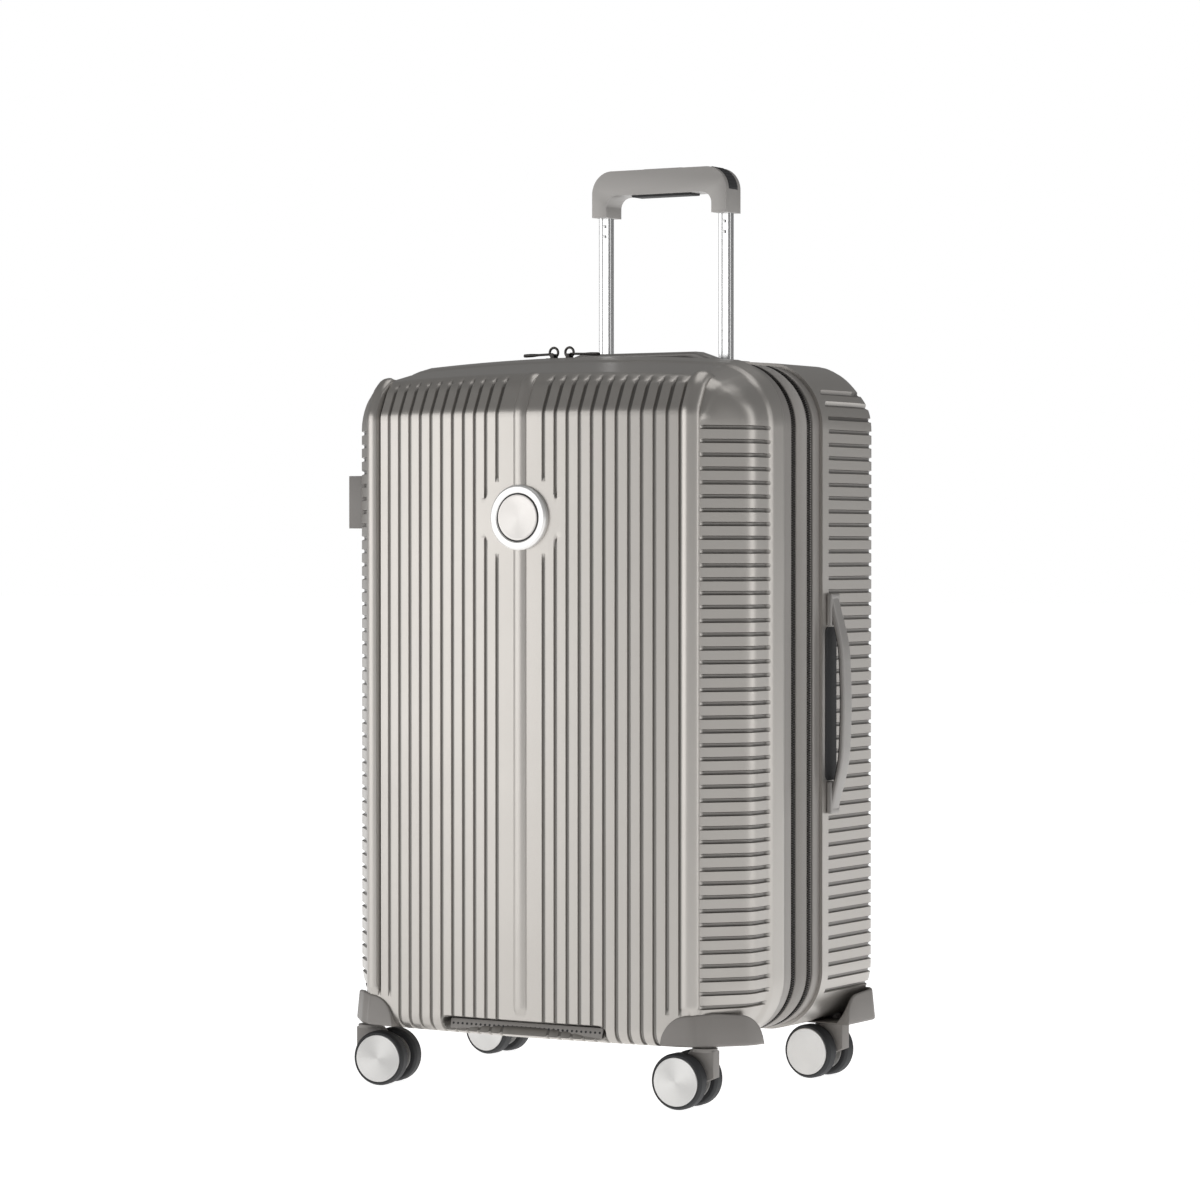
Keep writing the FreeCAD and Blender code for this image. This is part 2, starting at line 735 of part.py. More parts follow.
def lug_slots(name):
    """The two slots through which the side handle's lugs slide."""
    gap = size("lug_gap")
    margin = size("lug_margin") - gap
    return [
        block(
            "%s_%d" % (name, n),
            (size("half_width") - PAST * 2, size("half_width") + PAST * 2),
            around(size("side_y"), (size("lug_half") + gap) * 2),
            (low + margin, high - margin),
        )
        for n, (low, high) in enumerate(side_mount_spans())
    ]


def rear_shell():
    """The rear half of the case, with openings for the tray, the pan and the side handle's lugs."""
    outer = rear_solid("rear_shell_outer", 0, size("rear_rim"))
    inner = rear_solid("rear_shell_inner", size("shell_wall"), size("rear_rim") - 1)
    return cut(
        "rear_shell",
        outer,
        inner,
        *guard_tools("rear_shell", 1),
        *lug_slots("rear_shell_slot"),
        tray_block("rear_shell_tray", 0, size("tray_low")),
        pan_block("rear_shell_pan", 0, size("pan_low")),
    )


def soft_joint():
    """Rims, tapes and fabric bands between the two shells, from the lid to the body."""
    inset, thick = size("band_inset"), size("band_thick")
    tape, thin = size("tape_inset"), size("tape_thick")
    split, gap = size("parting"), size("chain_gap") / 2
    return [
        band("lid_rim", inset, thick, size("lid_rim_front"), size("lid_rim_back")),
        band("main_zip_front", tape, thin, size("lid_rim_back"), split - gap),
        band("main_zip_rear", tape, thin, split + gap, size("band_front")),
        band("gusset_band", inset, thick, size("band_front"), size("band_back")),
        band("expansion_zip_front", tape, thin, size("band_back"), size("expansion_line") - gap),
        band("expansion_zip_rear", tape, thin, size("expansion_line") + gap, size("rear_rim_front")),
        band("rear_rim", inset, thick, size("rear_rim_front"), size("rear_rim_back")),
        band(
            "gusset_pleat",
            inset + thick + 2,
            size("pleat_depth") / 2,
            size("band_back") - 6,
            size("rear_rim_front"),
        ),
    ]


# ---------------------------------------------------------------- linings and straps


def lining(name, mouth, floor):
    """A sewn lining: an open tub with rounded corners, its floor at one end along Y."""
    mouth, floor = dim(mouth), dim(floor)
    wall = size("lining_wall")
    low, high = (mouth, floor) if floor.value > mouth.value else (floor, mouth)

    def tub(part, inset, near, far):
        side = size("lining_half") - inset
        bottom, top = size("lining_low") + inset, size("lining_high") - inset
        outline = [(side, bottom), (side, top), (-side, top), (-side, bottom)]
        rounds = [(i, size("lining_round") - inset) for i in range(4)]
        return prism(part, "XZ_Plane", outline, near, far, rounds)

    outer = tub(name + "_outer", dim(0), low, high)
    if floor.value > mouth.value:
        inner = tub(name + "_inner", wall, low - 1, high - wall)
        tools = guard_tools(name, 1)
    else:
        inner = tub(name + "_inner", wall, low + wall, high + 1)
        tools = guard_tools(name, -1)
    return outer, inner, tools


def linings():
    """The lining of each half, clear of the corner guards and the back of the lock."""
    outer, inner, tools = lining("rear_lining", size("lining_front"), size("rear_floor"))
    rear = cut("rear_lining", outer, inner, *tools)
    outer, inner, tools = lining("lid_lining", size("lining_back"), size("lid_floor"))
    lid = cut("lid_lining", outer, inner, *tools, lock_block("lid_lining_lock", 0.3))
    return [rear, lid]


def packing_straps():
    """Two elastic straps across the rear half, and the buckle on each, as one node."""
    half = size("lining_half") - size("lining_wall") - size("strap_gap")
    face, wide = size("strap_y"), size("strap_wide")
    pieces = []
    for n in range(2):
        middle = size("strap_z") + size("strap_pitch") * n
        behind = (face, face + size("strap_thick"))
        before = (face - size("buckle_thick"), face)
        pieces.append(block("strap_%d" % n, both_sides(half), behind, around(middle, wide)))
        tall = around(middle, wide + size("buckle_past") * 2)
        pieces.append(block("buckle_%d" % n, both_sides(size("buckle_half")), before, tall))
    return group("packing_straps", *pieces)


# ---------------------------------------------------------------- front details


def medallion():
    """The round ring and disc on the front face."""
    face, proud, thin = size("front_y"), size("medal_proud"), size("disc_proud")
    ring = cut(
        "medallion_ring",
        rod("medal_ring_outer", size("medal_ring"), (0, face - proud, size("medal_z")), proud, "y"),
        rod("medal_ring_inner", size("medal_inner"), (0, face - PAST, size("medal_z")), PAST * 2, "y"),
    )
    disc = rod("medallion_disc", size("medal_disc"), (0, face - thin, size("medal_z")), thin, "y")
    return [ring, disc]


def grab_scoop():
    """The lined scoop under the front edge that the fingers hold."""
    blank = scoop_block("scoop_outer", 0)
    face = block(
        "scoop_limit",
        both_sides(size("scoop_half")),
        (size("front_y") + size("scoop_sunk"), size("scoop_back")),
        (size("case_bottom"), size("scoop_high")),
    )
    hollow = scoop_block("scoop_inner", size("scoop_wall"), PAST)
    return cut("grab_scoop", common("scoop_blank", blank, face), hollow)


def combination_lock():
    """The lock's case with its spindle, three dials and the catch that frees the zip pulls."""
    face = -size("lock_out") + size("lock_face")
    high = size("dial_low") + size("dial_pitch") * 2 + size("dial_thick")
    window = block(
        "lock_window",
        (-size("lock_out") - PAST, -size("lock_in") - size("window_wall")),
        around(size("dial_y"), (size("dial_radius") + size("window_gap")) * 2),
        (size("dial_low") - size("window_end"), high + size("window_end")),
    )
    room_low = size("lock_low") + size("catch_low")
    room_tall = size("catch_tall") + size("catch_travel") + size("catch_gap") * 2
    catch_room = block(
        "lock_catch_room",
        (-size("lock_out") - PAST, face + size("catch_gap") * 2.5),
        around(size("dial_y"), size("catch_wide") + size("catch_gap") * 2),
        (room_low, room_low + room_tall),
    )
    pull_ports = [
        block(
            "lock_port_%d" % n,
            (face - 1, face + size("port_wide")),
            (size("lock_back") - size("port_deep"), size("lock_back") + PAST),
            around(size("lock_low") + size("port_low") + size("port_pitch") * n, size("port_tall")),
        )
        for n in (0, 1)
    ]
    spindle = rod(
        "lock_spindle",
        size("spindle_radius"),
        (size("dial_x"), size("dial_y"), size("dial_low") - size("spindle_past")),
        high - size("dial_low") + size("spindle_past") * 2,
    )
    case = cut("lock_shape", lock_block("lock_outer"), window, catch_room, *pull_ports)
    pieces = [fuse("lock_case", case, spindle)]
    for n in range(3):
        start = (size("dial_x"), size("dial_y"), size("dial_low") + size("dial_pitch") * n)
        bore = (start[0], start[1], start[2] - 1)
        pieces.append(
            cut(
                "lock_dial_%d" % (n + 1),
                rod("dial_outer_%d" % n, size("dial_radius"), start, size("dial_thick")),
                rod(
                    "dial_bore_%d" % n,
                    size("spindle_radius") + size("running_gap"),
                    bore,
                    size("dial_thick") + 2,
                ),
            )
        )
    pieces.append(
        block(
            "lock_catch",
            (-size("lock_out") - size("catch_proud"), face + size("catch_proud") * 2),
            around(size("dial_y"), size("catch_wide")),
            (room_low + size("catch_gap"), room_low + size("catch_gap") + size("catch_tall")),
        )
    )
    return pieces


def zip_parts():
    """The two sliders of the main zip with their bridges, and the pull that hangs on each."""
    middle_y, pin_z = size("slider_y"), size("pull_pin_z")
    top = size("slider_low") + size("slider_tall")
    sliders, pulls = [], []
    for hand, way in (("left", -1), ("right", 1)):
        middle = size("slider_x") + size("slider_pitch") / 2 * way
        body = block(
            "slider_body_" + hand,
            around(middle, size("slider_long")),
            around(middle_y, size("slider_wide")),
            (size("slider_low"), top),
        )
        start = (middle, middle_y - size("bridge_long") / 2, pin_z)
        bridge = rod("slider_bridge_" + hand, size("bridge_radius"), start, size("bridge_long"), "y")
        cheeks = [
            block(
                "slider_cheek_%s_%s" % (hand, end),
                around(middle, size("cheek_long")),
                around(middle_y + size("cheek_y") * where, size("cheek_thick")),
                (top - size("bridge_radius") / 2, pin_z + size("cheek_thick")),
            )
            for end, where in (("front", -1), ("back", 1))
        ]
        sliders.append(fuse("slider_" + hand, body, bridge, *cheeks))
        ends = (middle - size("pull_past") * way, middle + (size("pull_long") - size("pull_past")) * way)
        tab = block(
            "pull_tab_" + hand,
            ends if way > 0 else ends[::-1],
            around(middle_y, size("pull_wide")),
            around(pin_z, size("pull_thick")),
        )
        eye_radius = size("bridge_radius") + size("running_gap")
        eye = rod("pull_eye_" + hand, eye_radius, (middle, middle_y - PAST, pin_z), PAST * 2, "y")
        pulls.append(cut("zip_pull_" + hand, tab, eye))
    return [group("zip_sliders", *sliders)] + pulls


# ---------------------------------------------------------------- trolley handle


def tube_pair(name, wide, deep, low, high):
    """Two parallel rectangular tubes."""
    made = []
    for n, side in enumerate((-1, 1)):
        centre = size("tube_x") * side
        wall = size("tube_wall")
        spans = (around(centre, wide), around(size("tube_y"), deep), (low, high))
        solid = block("%s_solid_%d" % (name, n), *spans)
        hollow = block(
            "%s_hollow_%d" % (name, n),
            around(centre, dim(wide) - wall * 2),
            around(size("tube_y"), dim(deep) - wall * 2),
            (dim(low) - 1, dim(high) + 1),
        )
        made.append(cut("%s_tube_%d" % (name, n), solid, hollow))
    return group(name, *made)


def trolley_tubes():
    """The three stages of the trolley handle, outermost first, and the rivets under the grip."""
    rivets = [
        rod(
            "rivet_%d_%d" % (side, n),
            size("rivet_radius"),
            (
                size("tube_x") * side,
                size("tube_y") - size("inner_deep") / 2 - size("rivet_proud"),
                size("rivet_high") - size("rivet_pitch") * n,
            ),
            size("rivet_proud"),
            "y",
        )
        for side in (-1, 1)
        for n in (0, 1)
    ]
    stages = [
        tube_pair(stage + "_tubes", *[size(stage + part) for part in ("_wide", "_deep", "_low", "_high")])
        for stage in ("outer", "middle", "inner")
    ]
    return stages + [group("tube_rivets", *rivets)]


def grip_insert(name, side):
    """A rubber insert let into one outer corner of the grip, which is also the room for it."""
    radius, half = size("grip_round"), size("insert_half")
    x, y, z = (size("grip_half") - radius) * side, size("tube_y") - half, size("grip_top") - radius
    ring = cut(
        name + "_ring",
        rod(name + "_outer", radius, (x, y, z), half * 2, "y"),
        rod(name + "_inner", radius - size("insert_thick"), (x, y - PAST, z), half * 2 + PAST * 2, "y"),
    )
    reach = radius + PAST
    xs = (x, x + reach) if side > 0 else (x - reach, x)
    quarter = block(name + "_quarter", xs, (y - PAST, y + half * 2 + PAST), (z, z + reach))
    return common(name, ring, quarter)


def grip_parts():
    """The grip with its pad, rubber inserts, release button and push rods."""
    low, bar, top = size("grip_low"), size("grip_bar"), size("grip_top")
    half, leg = size("grip_half"), size("grip_leg")
    y_low, y_high = around(size("tube_y"), size("grip_deep"))
    arch = prism(
        "grip_arch",
        "XZ_Plane",
        [(-half, low), (-leg, low), (-leg, bar), (leg, bar), (leg, low), (half, low)]
        + [(half, top), (-half, top)],
        y_low,
        y_high,
        rounds=[
            (7, size("grip_round")),
            (6, size("grip_round")),
            (2, size("grip_inner_round")),
            (3, size("grip_inner_round")),
        ],
    )
    pocket = block(
        "grip_pocket",
        both_sides(size("button_half") + size("button_gap")),
        around(size("tube_y"), size("button_deep") + size("button_gap") * 2),
        (size("yoke_high") + size("yoke_gap") / 2, top + PAST),
    )
    channel = block(
        "grip_channel",
        both_sides(size("tube_x") + size("rod_radius") + size("yoke_gap")),
        around(size("tube_y"), size("yoke_thick") + size("yoke_gap") * 2),
        (size("yoke_low") - size("button_travel") - size("yoke_gap"), size("yoke_high") + size("yoke_gap")),
    )
    pad_room = block(
        "grip_pad_room",
        both_sides(size("pad_half")),
        around(size("tube_y"), size("pad_deep")),
        (bar - PAST, bar + size("pad_sunk")),
    )
    sockets, bores, rods = [], [], []
    for side in (-1, 1):
        x = size("tube_x") * side
        sockets.append(
            block(
                "grip_socket_%d" % side,
                around(x, size("inner_wide")),
                around(size("tube_y"), size("inner_deep")),
                (low - 1, size("inner_high")),
            )
        )
        radius, deep = size("rod_radius") + size("rod_gap"), size("yoke_high") - low
        bores.append(rod("grip_bore_%d" % side, radius, (x, size("tube_y"), low), deep))
        rods.append(
            rod(
                "push_rod_%d" % side,
                size("rod_radius"),
                (x, size("tube_y"), size("rod_low")),
                size("yoke_high") - size("rod_low"),
            )
        )
    rooms = [grip_insert("insert_room_%d" % side, side) for side in (-1, 1)]
    grip = cut("grip", arch, pocket, channel, pad_room, *sockets, *bores, *rooms)
    pad_piece = block(
        "grip_pad",
        both_sides(size("pad_half")),
        around(size("tube_y"), size("pad_deep")),
        (bar - size("pad_proud"), bar + size("pad_sunk")),
    )
    inserts = group("grip_inserts", *[grip_insert("insert_%d" % side, side) for side in (-1, 1)])
    button = block(
        "release_button",
        both_sides(size("button_half")),
        around(size("tube_y"), size("button_deep")),
        (size("button_low"), top + size("button_proud")),
    )
    yoke = block(
        "push_yoke",
        both_sides(size("tube_x")),
        around(size("tube_y"), size("yoke_thick")),
        (size("yoke_low"), size("yoke_high")),
    )
    stem = block(
        "push_stem",
        both_sides(size("stem_half")),
        around(size("tube_y"), size("yoke_thick")),
        (size("yoke_high") - 1, size("button_low")),
    )
    return [grip, pad_piece, inserts, button, fuse("push_rods", yoke, stem, *rods)]


def handle_tray():
    """The tray in the top of the rear shell that the grip sinks into, its floor open for the tubes."""
    holes = [
        block(
            "tray_hole_%d" % side,
            around(size("tube_x") * side, size("middle_wide") + size("tube_gap") * 2),
            around(size("tube_y"), size("middle_deep") + size("tube_gap") * 2),
            (size("tray_low") - 1, size("tray_floor") + 1),
        )
        for side in (-1, 1)
    ]
    return cut(
        "handle_tray",
        tray_block("tray_outer", 0, size("tray_low")),
        tray_block("tray_inner", size("tray_wall"), size("tray_floor")),
        *holes,
    )


# ---------------------------------------------------------------- carry handles


def top_handle():
    """The finger pan in the top of the rear shell and the low handle that lifts out of it."""
    pan = cut(
        "top_handle_pan",
        pan_block("pan_outer", 0, size("pan_low")),
        pan_block("pan_inner", size("pan_wall"), size("pan_low") + size("pan_wall")),
    )
    half, high = size("top_handle_half"), size("top_handle_high")
    foot, edge, slope = size("top_handle_foot"), size("top_handle_edge"), size("top_handle_slope")
    right = [
        (half - foot, size("top_handle_low")),
        (half, size("top_handle_low")),
        (half, high - edge),
        (half - slope, high),
    ]
    inner = [(half - foot - slope, high - size("top_handle_bar")), (half - foot, high - foot)]
    left = [(-u, v) for u, v in reversed(right)]
    outline = right + left + [(-u, v) for u, v in reversed(inner)] + inner
    middle = (size("pan_front") + size("pan_back")) / 2
    low_y, high_y = around(middle, size("top_handle_deep"))
    return [pan, prism("top_handle", "XZ_Plane", outline, low_y, high_y)]


def side_handle():
    """The two mounts on the rear shell's right side and the bowed handle whose lugs slide in them."""
    side = size("half_width")
    plates = [
        block(
            "side_plate_%d" % n,
            (side, side + size("mount_proud")),
            around(size("side_y"), size("side_deep")),
            span,
        )
        for n, span in enumerate(side_mount_spans())
    ]
    slots = lug_slots("side_mount_slot")
    mounts = group(
        "side_handle_mounts",
        *[cut("side_mount_%d" % n, plate, slot) for n, (plate, slot) in enumerate(zip(plates, slots))],
    )
    out, thick = size("side_out"), size("side_thick")
    low, high = size("side_low"), size("side_high")
    foot = side + size("mount_proud") + size("bar_foot")
    short, rise, flat, step = size("bar_short"), size("bar_rise"), size("bar_flat"), size("bar_step")
    outer = [(foot, short), (foot + step * 2, short), (out - step, rise), (out, flat)]
    back = out - thick
    inner = [(back, flat + thick), (back - step / 2, rise + thick * 2), (foot, size("bar_root"))]
    bar = prism(
        "side_bar",
        "XZ_Plane",
        [(x, low + along) for x, along in outer]
        + [(x, high - along) for x, along in outer[::-1]]
        + [(x, high - along) for x, along in inner[::-1]]
        + [(x, low + along) for x, along in inner],
        *around(size("side_y"), size("side_deep") - size("bar_short")),
    )
    lugs = []
    end = side - size("lug_deep")
    for n, (span_low, span_high) in enumerate(side_mount_spans()):
        heights = (span_low + size("lug_margin"), span_high - size("lug_margin"))
        wide = size("lug_half") * 2
        lugs.append(block("side_lug_%d" % n, (end, foot + step), around(size("side_y"), wide), heights))
        head = around(size("side_y"), wide + RETAINING_HEAD * 2)
        lugs.append(block("side_lug_head_%d" % n, (end, end + size("lug_head")), head, heights))
    return [mounts, fuse("side_handle", bar, *lugs)]


# ---------------------------------------------------------------- casters


def set_down(body, corner, side, end):
    """Puts a caster piece, built about its own swivel axis, at its corner."""
    swing = Rotation(Vector(0, 0, 1), CASTER_SWING[corner])
    body.Placement = Placement(Vector(0, 0, 0), swing)
    bind(body, "Placement.Base.x", size("caster_x") * side)
    bind(body, "Placement.Base.y", size("caster_y") * end)
    return body


def caster_fork(corner, side, end):
    """A fork: a flat arm between the wheels, the stem above it, its kingpin and its axle pin."""
    name = "caster_fork_" + corner
    body = doc.addObject("PartDesign::Body", name)
    radius, trail = size("stem_radius"), size("trail")
    axle_z, thick = size("wheel_radius"), size("fork_thick")
    collar = size("stem_low")
    past, low, toe = size("arm_past"), size("arm_low"), size("arm_toe")
    arm = [
        (radius, collar + 1),
        (-radius, collar + 1),
        (-trail - past + 1, axle_z + size("arm_rise")),
        (-trail - past, axle_z - toe),
        (-trail, axle_z - low),
        (-trail + low, axle_z - toe * 2),
        (radius, axle_z + toe),
    ]
    sketch = outline_sketch(body, name + "_arm_outline", "XZ_Plane", arm, -thick / 2)
    pad(body, name + "_arm", sketch, thick)
    stem = circle_sketch(body, name + "_stem_circle", "XY_Plane", (0, 0), radius, collar)
    pad(body, name + "_stem", stem, size("stem_high") - collar)
    pin = circle_sketch(body, name + "_pin_circle", "XY_Plane", (0, 0), size("kingpin_radius"), collar)
    pad(body, name + "_pin", pin, size("kingpin_top") - collar)
    half = size("wheel_far") - size("axle_short")
    centre = (-trail, axle_z)
    axle = circle_sketch(body, name + "_axle_circle", "XZ_Plane", centre, size("axle_radius"), -half)
    body.Tip = pad(body, name + "_axle", axle, half * 2)
    return set_down(body, corner, side, end)


def turned(name, profile, corner, side, end):
    """A body turned about the axle from (along the axle, radius) points."""
    body = doc.addObject("PartDesign::Body", name)
    sketch = outline_sketch(body, name + "_outline", "YZ_Plane", profile, -size("trail"))
    bind(sketch, "AttachmentOffset.Base.y", size("wheel_radius"))
    feature = body.newObject("PartDesign::Revolution", name + "_turn")
    feature.Profile = sketch
    feature.ReferenceAxis = (sketch, ["H_Axis"])
    feature.Angle = 360
    body.Tip = feature
    return set_down(body, corner, side, end)


def caster_wheel(corner, side, end, which, way):
    """One wheel of a twin: its tyre and its hub, which runs on the axle pin."""
    near, far = size("wheel_near") * way, size("wheel_far") * way
    edge, radius = size("tyre_edge"), size("wheel_radius")
    inner = size("tyre_inner")
    bore = size("axle_radius") + size("running_gap")
    tyre = [
        (near, inner),
        (near, radius - edge),
        (near + edge * way, radius),
        (far - edge * way, radius),
        (far, radius - edge),
        (far, inner),
    ]
    proud = far + size("hub_proud") * way
    hub = [
        (near, bore),
        (near, inner),
        (far, inner),
        (far, inner - size("hub_lip")),
        (proud, size("hub_boss")),
        (proud, bore),
    ]
    names = ["%s_%s_%s" % (piece, corner, which) for piece in ("tyre", "hub")]
    return [turned(n, points, corner, side, end) for n, points in zip(names, (tyre, hub))]


def casters():
    """Four twin wheel casters."""
    made = []
    for corner, side, end in corners():
        made.append(caster_fork(corner, side, end))
        for which, way in (("a", -1), ("b", 1)):
            made += caster_wheel(corner, side, end, which, way)
    return made


# ---------------------------------------------------------------- checks and export


def check_and_export(nodes):
    """Stops on any failed object or bad shape, then writes one STEP file per node."""
    doc.recompute()
    failed = [o.Name for o in doc.Objects if {"Invalid", "Error"} & set(o.State)]
    if failed:
        raise RuntimeError("failed objects: %s" % ", ".join(failed))
    labels = [node.Label for node in nodes]
    if len(set(labels)) != len(labels) or len(labels) > 60:
        raise RuntimeError("node names repeat, or there are more than 60: %d" % len(labels))
    for node in nodes:
        shape = node.Shape
        if shape.isNull() or not shape.isValid() or not shape.Solids:
            raise RuntimeError("bad shape: %s" % node.Label)
    os.makedirs("parts", exist_ok=True)
    for node in nodes:
        node.Shape.exportStep(os.path.join("parts", node.Label + ".step"))
    print("%d nodes written" % len(nodes))


def main():
    """Builds every node of the suitcase."""
    fill_sheet()
    nodes = [front_shell(), rear_shell()]
    nodes += soft_joint()
    nodes += linings()
    nodes.append(packing_straps())
    nodes += medallion()
    nodes.append(grab_scoop())
    nodes += combination_lock()
    nodes += zip_parts()
    nodes += trolley_tubes()
    nodes += grip_parts()
    nodes.append(handle_tray())
    nodes += top_handle()
    nodes += side_handle()
    nodes += corner_guards()
    nodes += casters()
    check_and_export(nodes)


main()
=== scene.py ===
"""The looks of a hard shell suitcase on four twin wheel casters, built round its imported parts.

Sizes in this file are millimetres in the part's own frame: +Z is up and the front shell faces -Y.
Skin.piece turns them into metres when it makes a mesh.
"""

import json
import logging
import math
from collections.abc import Sequence
from dataclasses import dataclass, field
from enum import Enum

import bmesh
import bpy
import numpy as np
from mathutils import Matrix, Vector

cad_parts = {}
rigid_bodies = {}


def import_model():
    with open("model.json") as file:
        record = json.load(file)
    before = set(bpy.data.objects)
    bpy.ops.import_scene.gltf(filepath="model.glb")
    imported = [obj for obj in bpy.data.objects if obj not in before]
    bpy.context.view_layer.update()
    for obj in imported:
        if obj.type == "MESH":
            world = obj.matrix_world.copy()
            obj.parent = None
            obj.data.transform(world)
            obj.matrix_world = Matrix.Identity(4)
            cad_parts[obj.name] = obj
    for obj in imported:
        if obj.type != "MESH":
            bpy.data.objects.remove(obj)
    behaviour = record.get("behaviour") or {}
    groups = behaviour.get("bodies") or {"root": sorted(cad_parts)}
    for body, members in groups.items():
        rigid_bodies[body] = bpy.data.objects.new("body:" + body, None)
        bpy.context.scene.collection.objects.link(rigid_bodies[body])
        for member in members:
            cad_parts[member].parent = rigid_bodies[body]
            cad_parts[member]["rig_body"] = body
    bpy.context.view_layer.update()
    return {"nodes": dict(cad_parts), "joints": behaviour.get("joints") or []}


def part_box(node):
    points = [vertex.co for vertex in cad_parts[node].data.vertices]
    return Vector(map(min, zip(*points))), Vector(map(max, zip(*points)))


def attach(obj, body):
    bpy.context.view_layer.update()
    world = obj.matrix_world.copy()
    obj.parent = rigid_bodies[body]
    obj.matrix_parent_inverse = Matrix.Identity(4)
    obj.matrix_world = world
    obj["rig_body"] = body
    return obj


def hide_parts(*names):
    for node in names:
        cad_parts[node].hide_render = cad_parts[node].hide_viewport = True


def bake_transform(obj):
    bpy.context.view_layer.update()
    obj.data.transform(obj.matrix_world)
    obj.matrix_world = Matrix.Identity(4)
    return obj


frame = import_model()

LOG = logging.getLogger("suitcase")
MM = 0.001
SIDES = (-1, 1)
GROOVE_STEPS = (-2.0, -1.15, 0.0, 1.15, 2.0)  # the columns or rows over a groove, from its middle
RIVET_PITCH = 10.0
# Painted shade in grooves: how deep a point sinks before its colour starts to darken, and how deep it is
# darkest.
GROOVE_SHADE_SPAN = (1.1, 1.9)  # how deep a point sinks before it counts as hollow, and fully hollow


# ---------------------------------------------------------------- shapes in numbers

def smooth(value: np.ndarray, start: float, end: float) -> np.ndarray:
    """Returns 0 before start, 1 after end and an S curve between them."""
    t = np.clip((value - start) / (end - start), 0, 1)
    return t * t * (3 - 2 * t)


def dome(value: np.ndarray) -> np.ndarray:
    """Returns a half circle of height 1 over values from -1 to 1, and 0 outside."""
    return np.sqrt(np.clip(1 - value * value, 0, 1))


def outside(value: np.ndarray, low: float, high: float) -> np.ndarray:
    """Returns how far each value lies outside the span from low to high."""
    return np.maximum(0, np.maximum(low - value, value - high))


def lengths(points: np.ndarray) -> np.ndarray:
    """Returns the running length along a line of points, from 0."""
    steps = np.linalg.norm(np.diff(points, axis=0), axis=1)
    return np.concatenate([[0.0], np.cumsum(steps)])


def resampled(points: np.ndarray, count: int) -> np.ndarray:
    """Returns count points evenly spaced along a line of points."""
    run = lengths(points)
    even = np.linspace(0, run[-1], count)
    return np.stack([np.interp(even, run, axis) for axis in points.T], -1)


def rounded(corners: Sequence[tuple[float, ...]], radii: Sequence[float], steps: int = 6,
            closed: bool = False) -> np.ndarray:
    """Returns a line through corners, each turned by an arc that is tangent to both its runs.

    Args:
        corners: the corner points, in two or three axes.
        radii: one radius for each corner. An open line's two ends aren't rounded.
        steps: spans of each arc.
        closed: whether the last corner runs on to the first.

    Returns:
        The points of the line. A closed line repeats its first point at its end.
    """
    spots = np.array(corners, float)
    line = []
    for i, spot in enumerate(spots):
        if not closed and i in (0, len(spots) - 1):
            line.append(spot[None])
            continue
        before, after = spots[i - 1] - spot, spots[(i + 1) % len(spots)] - spot
        reach_before, reach_after = np.linalg.norm(before), np.linalg.norm(after)
        before, after = before / reach_before, after / reach_after
        half = math.acos(np.clip(before @ after, -1, 1)) / 2
        if radii[i] <= 0 or half > math.pi / 2 - 1e-3:
            line.append(spot[None])
            continue
        cut = min(radii[i] / math.tan(half), 0.49 * reach_before, 0.49 * reach_after)
        radius = cut * math.tan(half)
        middle = spot + (before + after) / np.linalg.norm(before + after) * radius / math.sin(half)
        turn = np.linspace(-1, 1, steps + 1)[:, None] * (math.pi / 2 - half)
        inward = (spot - middle) / np.linalg.norm(spot - middle)
        across = (after - before) / np.linalg.norm(after - before)
        line.append(middle + radius * (inward * np.cos(turn) + across * np.sin(turn)))
    if closed:
        line.append(line[0][:1])
    return np.concatenate(line)


def rounded_box(wide: float, tall: float, radius: float, steps: int = 4) -> np.ndarray:
    """Returns a closed rounded rectangle about the origin, wide along the first axis."""
    a, b = wide / 2, tall / 2
    return rounded([(-a, -b), (a, -b), (a, b), (-a, b)], [radius] * 4, steps, closed=True)


def lathed(profile: np.ndarray, centre: np.ndarray, axis: np.ndarray,
           around: int = 48) -> tuple[np.ndarray, np.ndarray]:
    """Turns a profile round an axis: point = centre + axis * height + radius * (cos, sin) across the axis.

    Args:
        profile: rows of (radius, height).
        centre: the point on the axis at height 0.
        axis: the direction of the axis.
        around: spans round the axis.

    Returns:
        The grid of points, and its map of (turn from 0 to 1, length along the profile).
    """
    axis = np.array(axis, float) / np.linalg.norm(axis)
    aside = np.cross(axis, [0, 0, 1.0]) if abs(axis[2]) < 0.9 else np.array([1.0, 0, 0])
    aside = aside / np.linalg.norm(aside)
    third = np.cross(axis, aside)
    turn = np.linspace(0, 2 * math.pi, around + 1)
    ring = np.cos(turn)[:, None] * aside + np.sin(turn)[:, None] * third
    points = centre + profile[None, :, 1, None] * axis + profile[None, :, 0, None] * ring[:, None]
    spots = np.stack(np.meshgrid(turn / (2 * math.pi), lengths(profile), indexing="ij"), -1)
    return points, spots


def swept(path: np.ndarray, profile: np.ndarray, up: Sequence[float],
          scale: np.ndarray | None = None) -> tuple[np.ndarray, np.ndarray]:
    """Carries a profile along a path: point = path + across * first + over * second.

    Args:
        path: the points of the path.
        profile: rows of (across, over), a closed line.
        up: the direction that the profile's second axis keeps nearest to.
        scale: a factor for the profile at each point of the path, or None.

    Returns:
        The grid of points, and its map of (length along the path, length round the profile).
    """
    forward = np.gradient(path, axis=0)
    forward /= np.linalg.norm(forward, axis=1)[:, None]
    across = np.cross(forward, np.array(up, float))
    across /= np.linalg.norm(across, axis=1)[:, None]
    over = np.cross(across, forward)
    size = np.ones(len(path)) if scale is None else scale
    points = (path[:, None] + size[:, None, None] * (
        profile[None, :, :1] * across[:, None] + profile[None, :, 1:] * over[:, None]))
    spots = np.stack(np.meshgrid(lengths(path), lengths(profile), indexing="ij"), -1)
    return points, spots


# ---------------------------------------------------------------- finishes

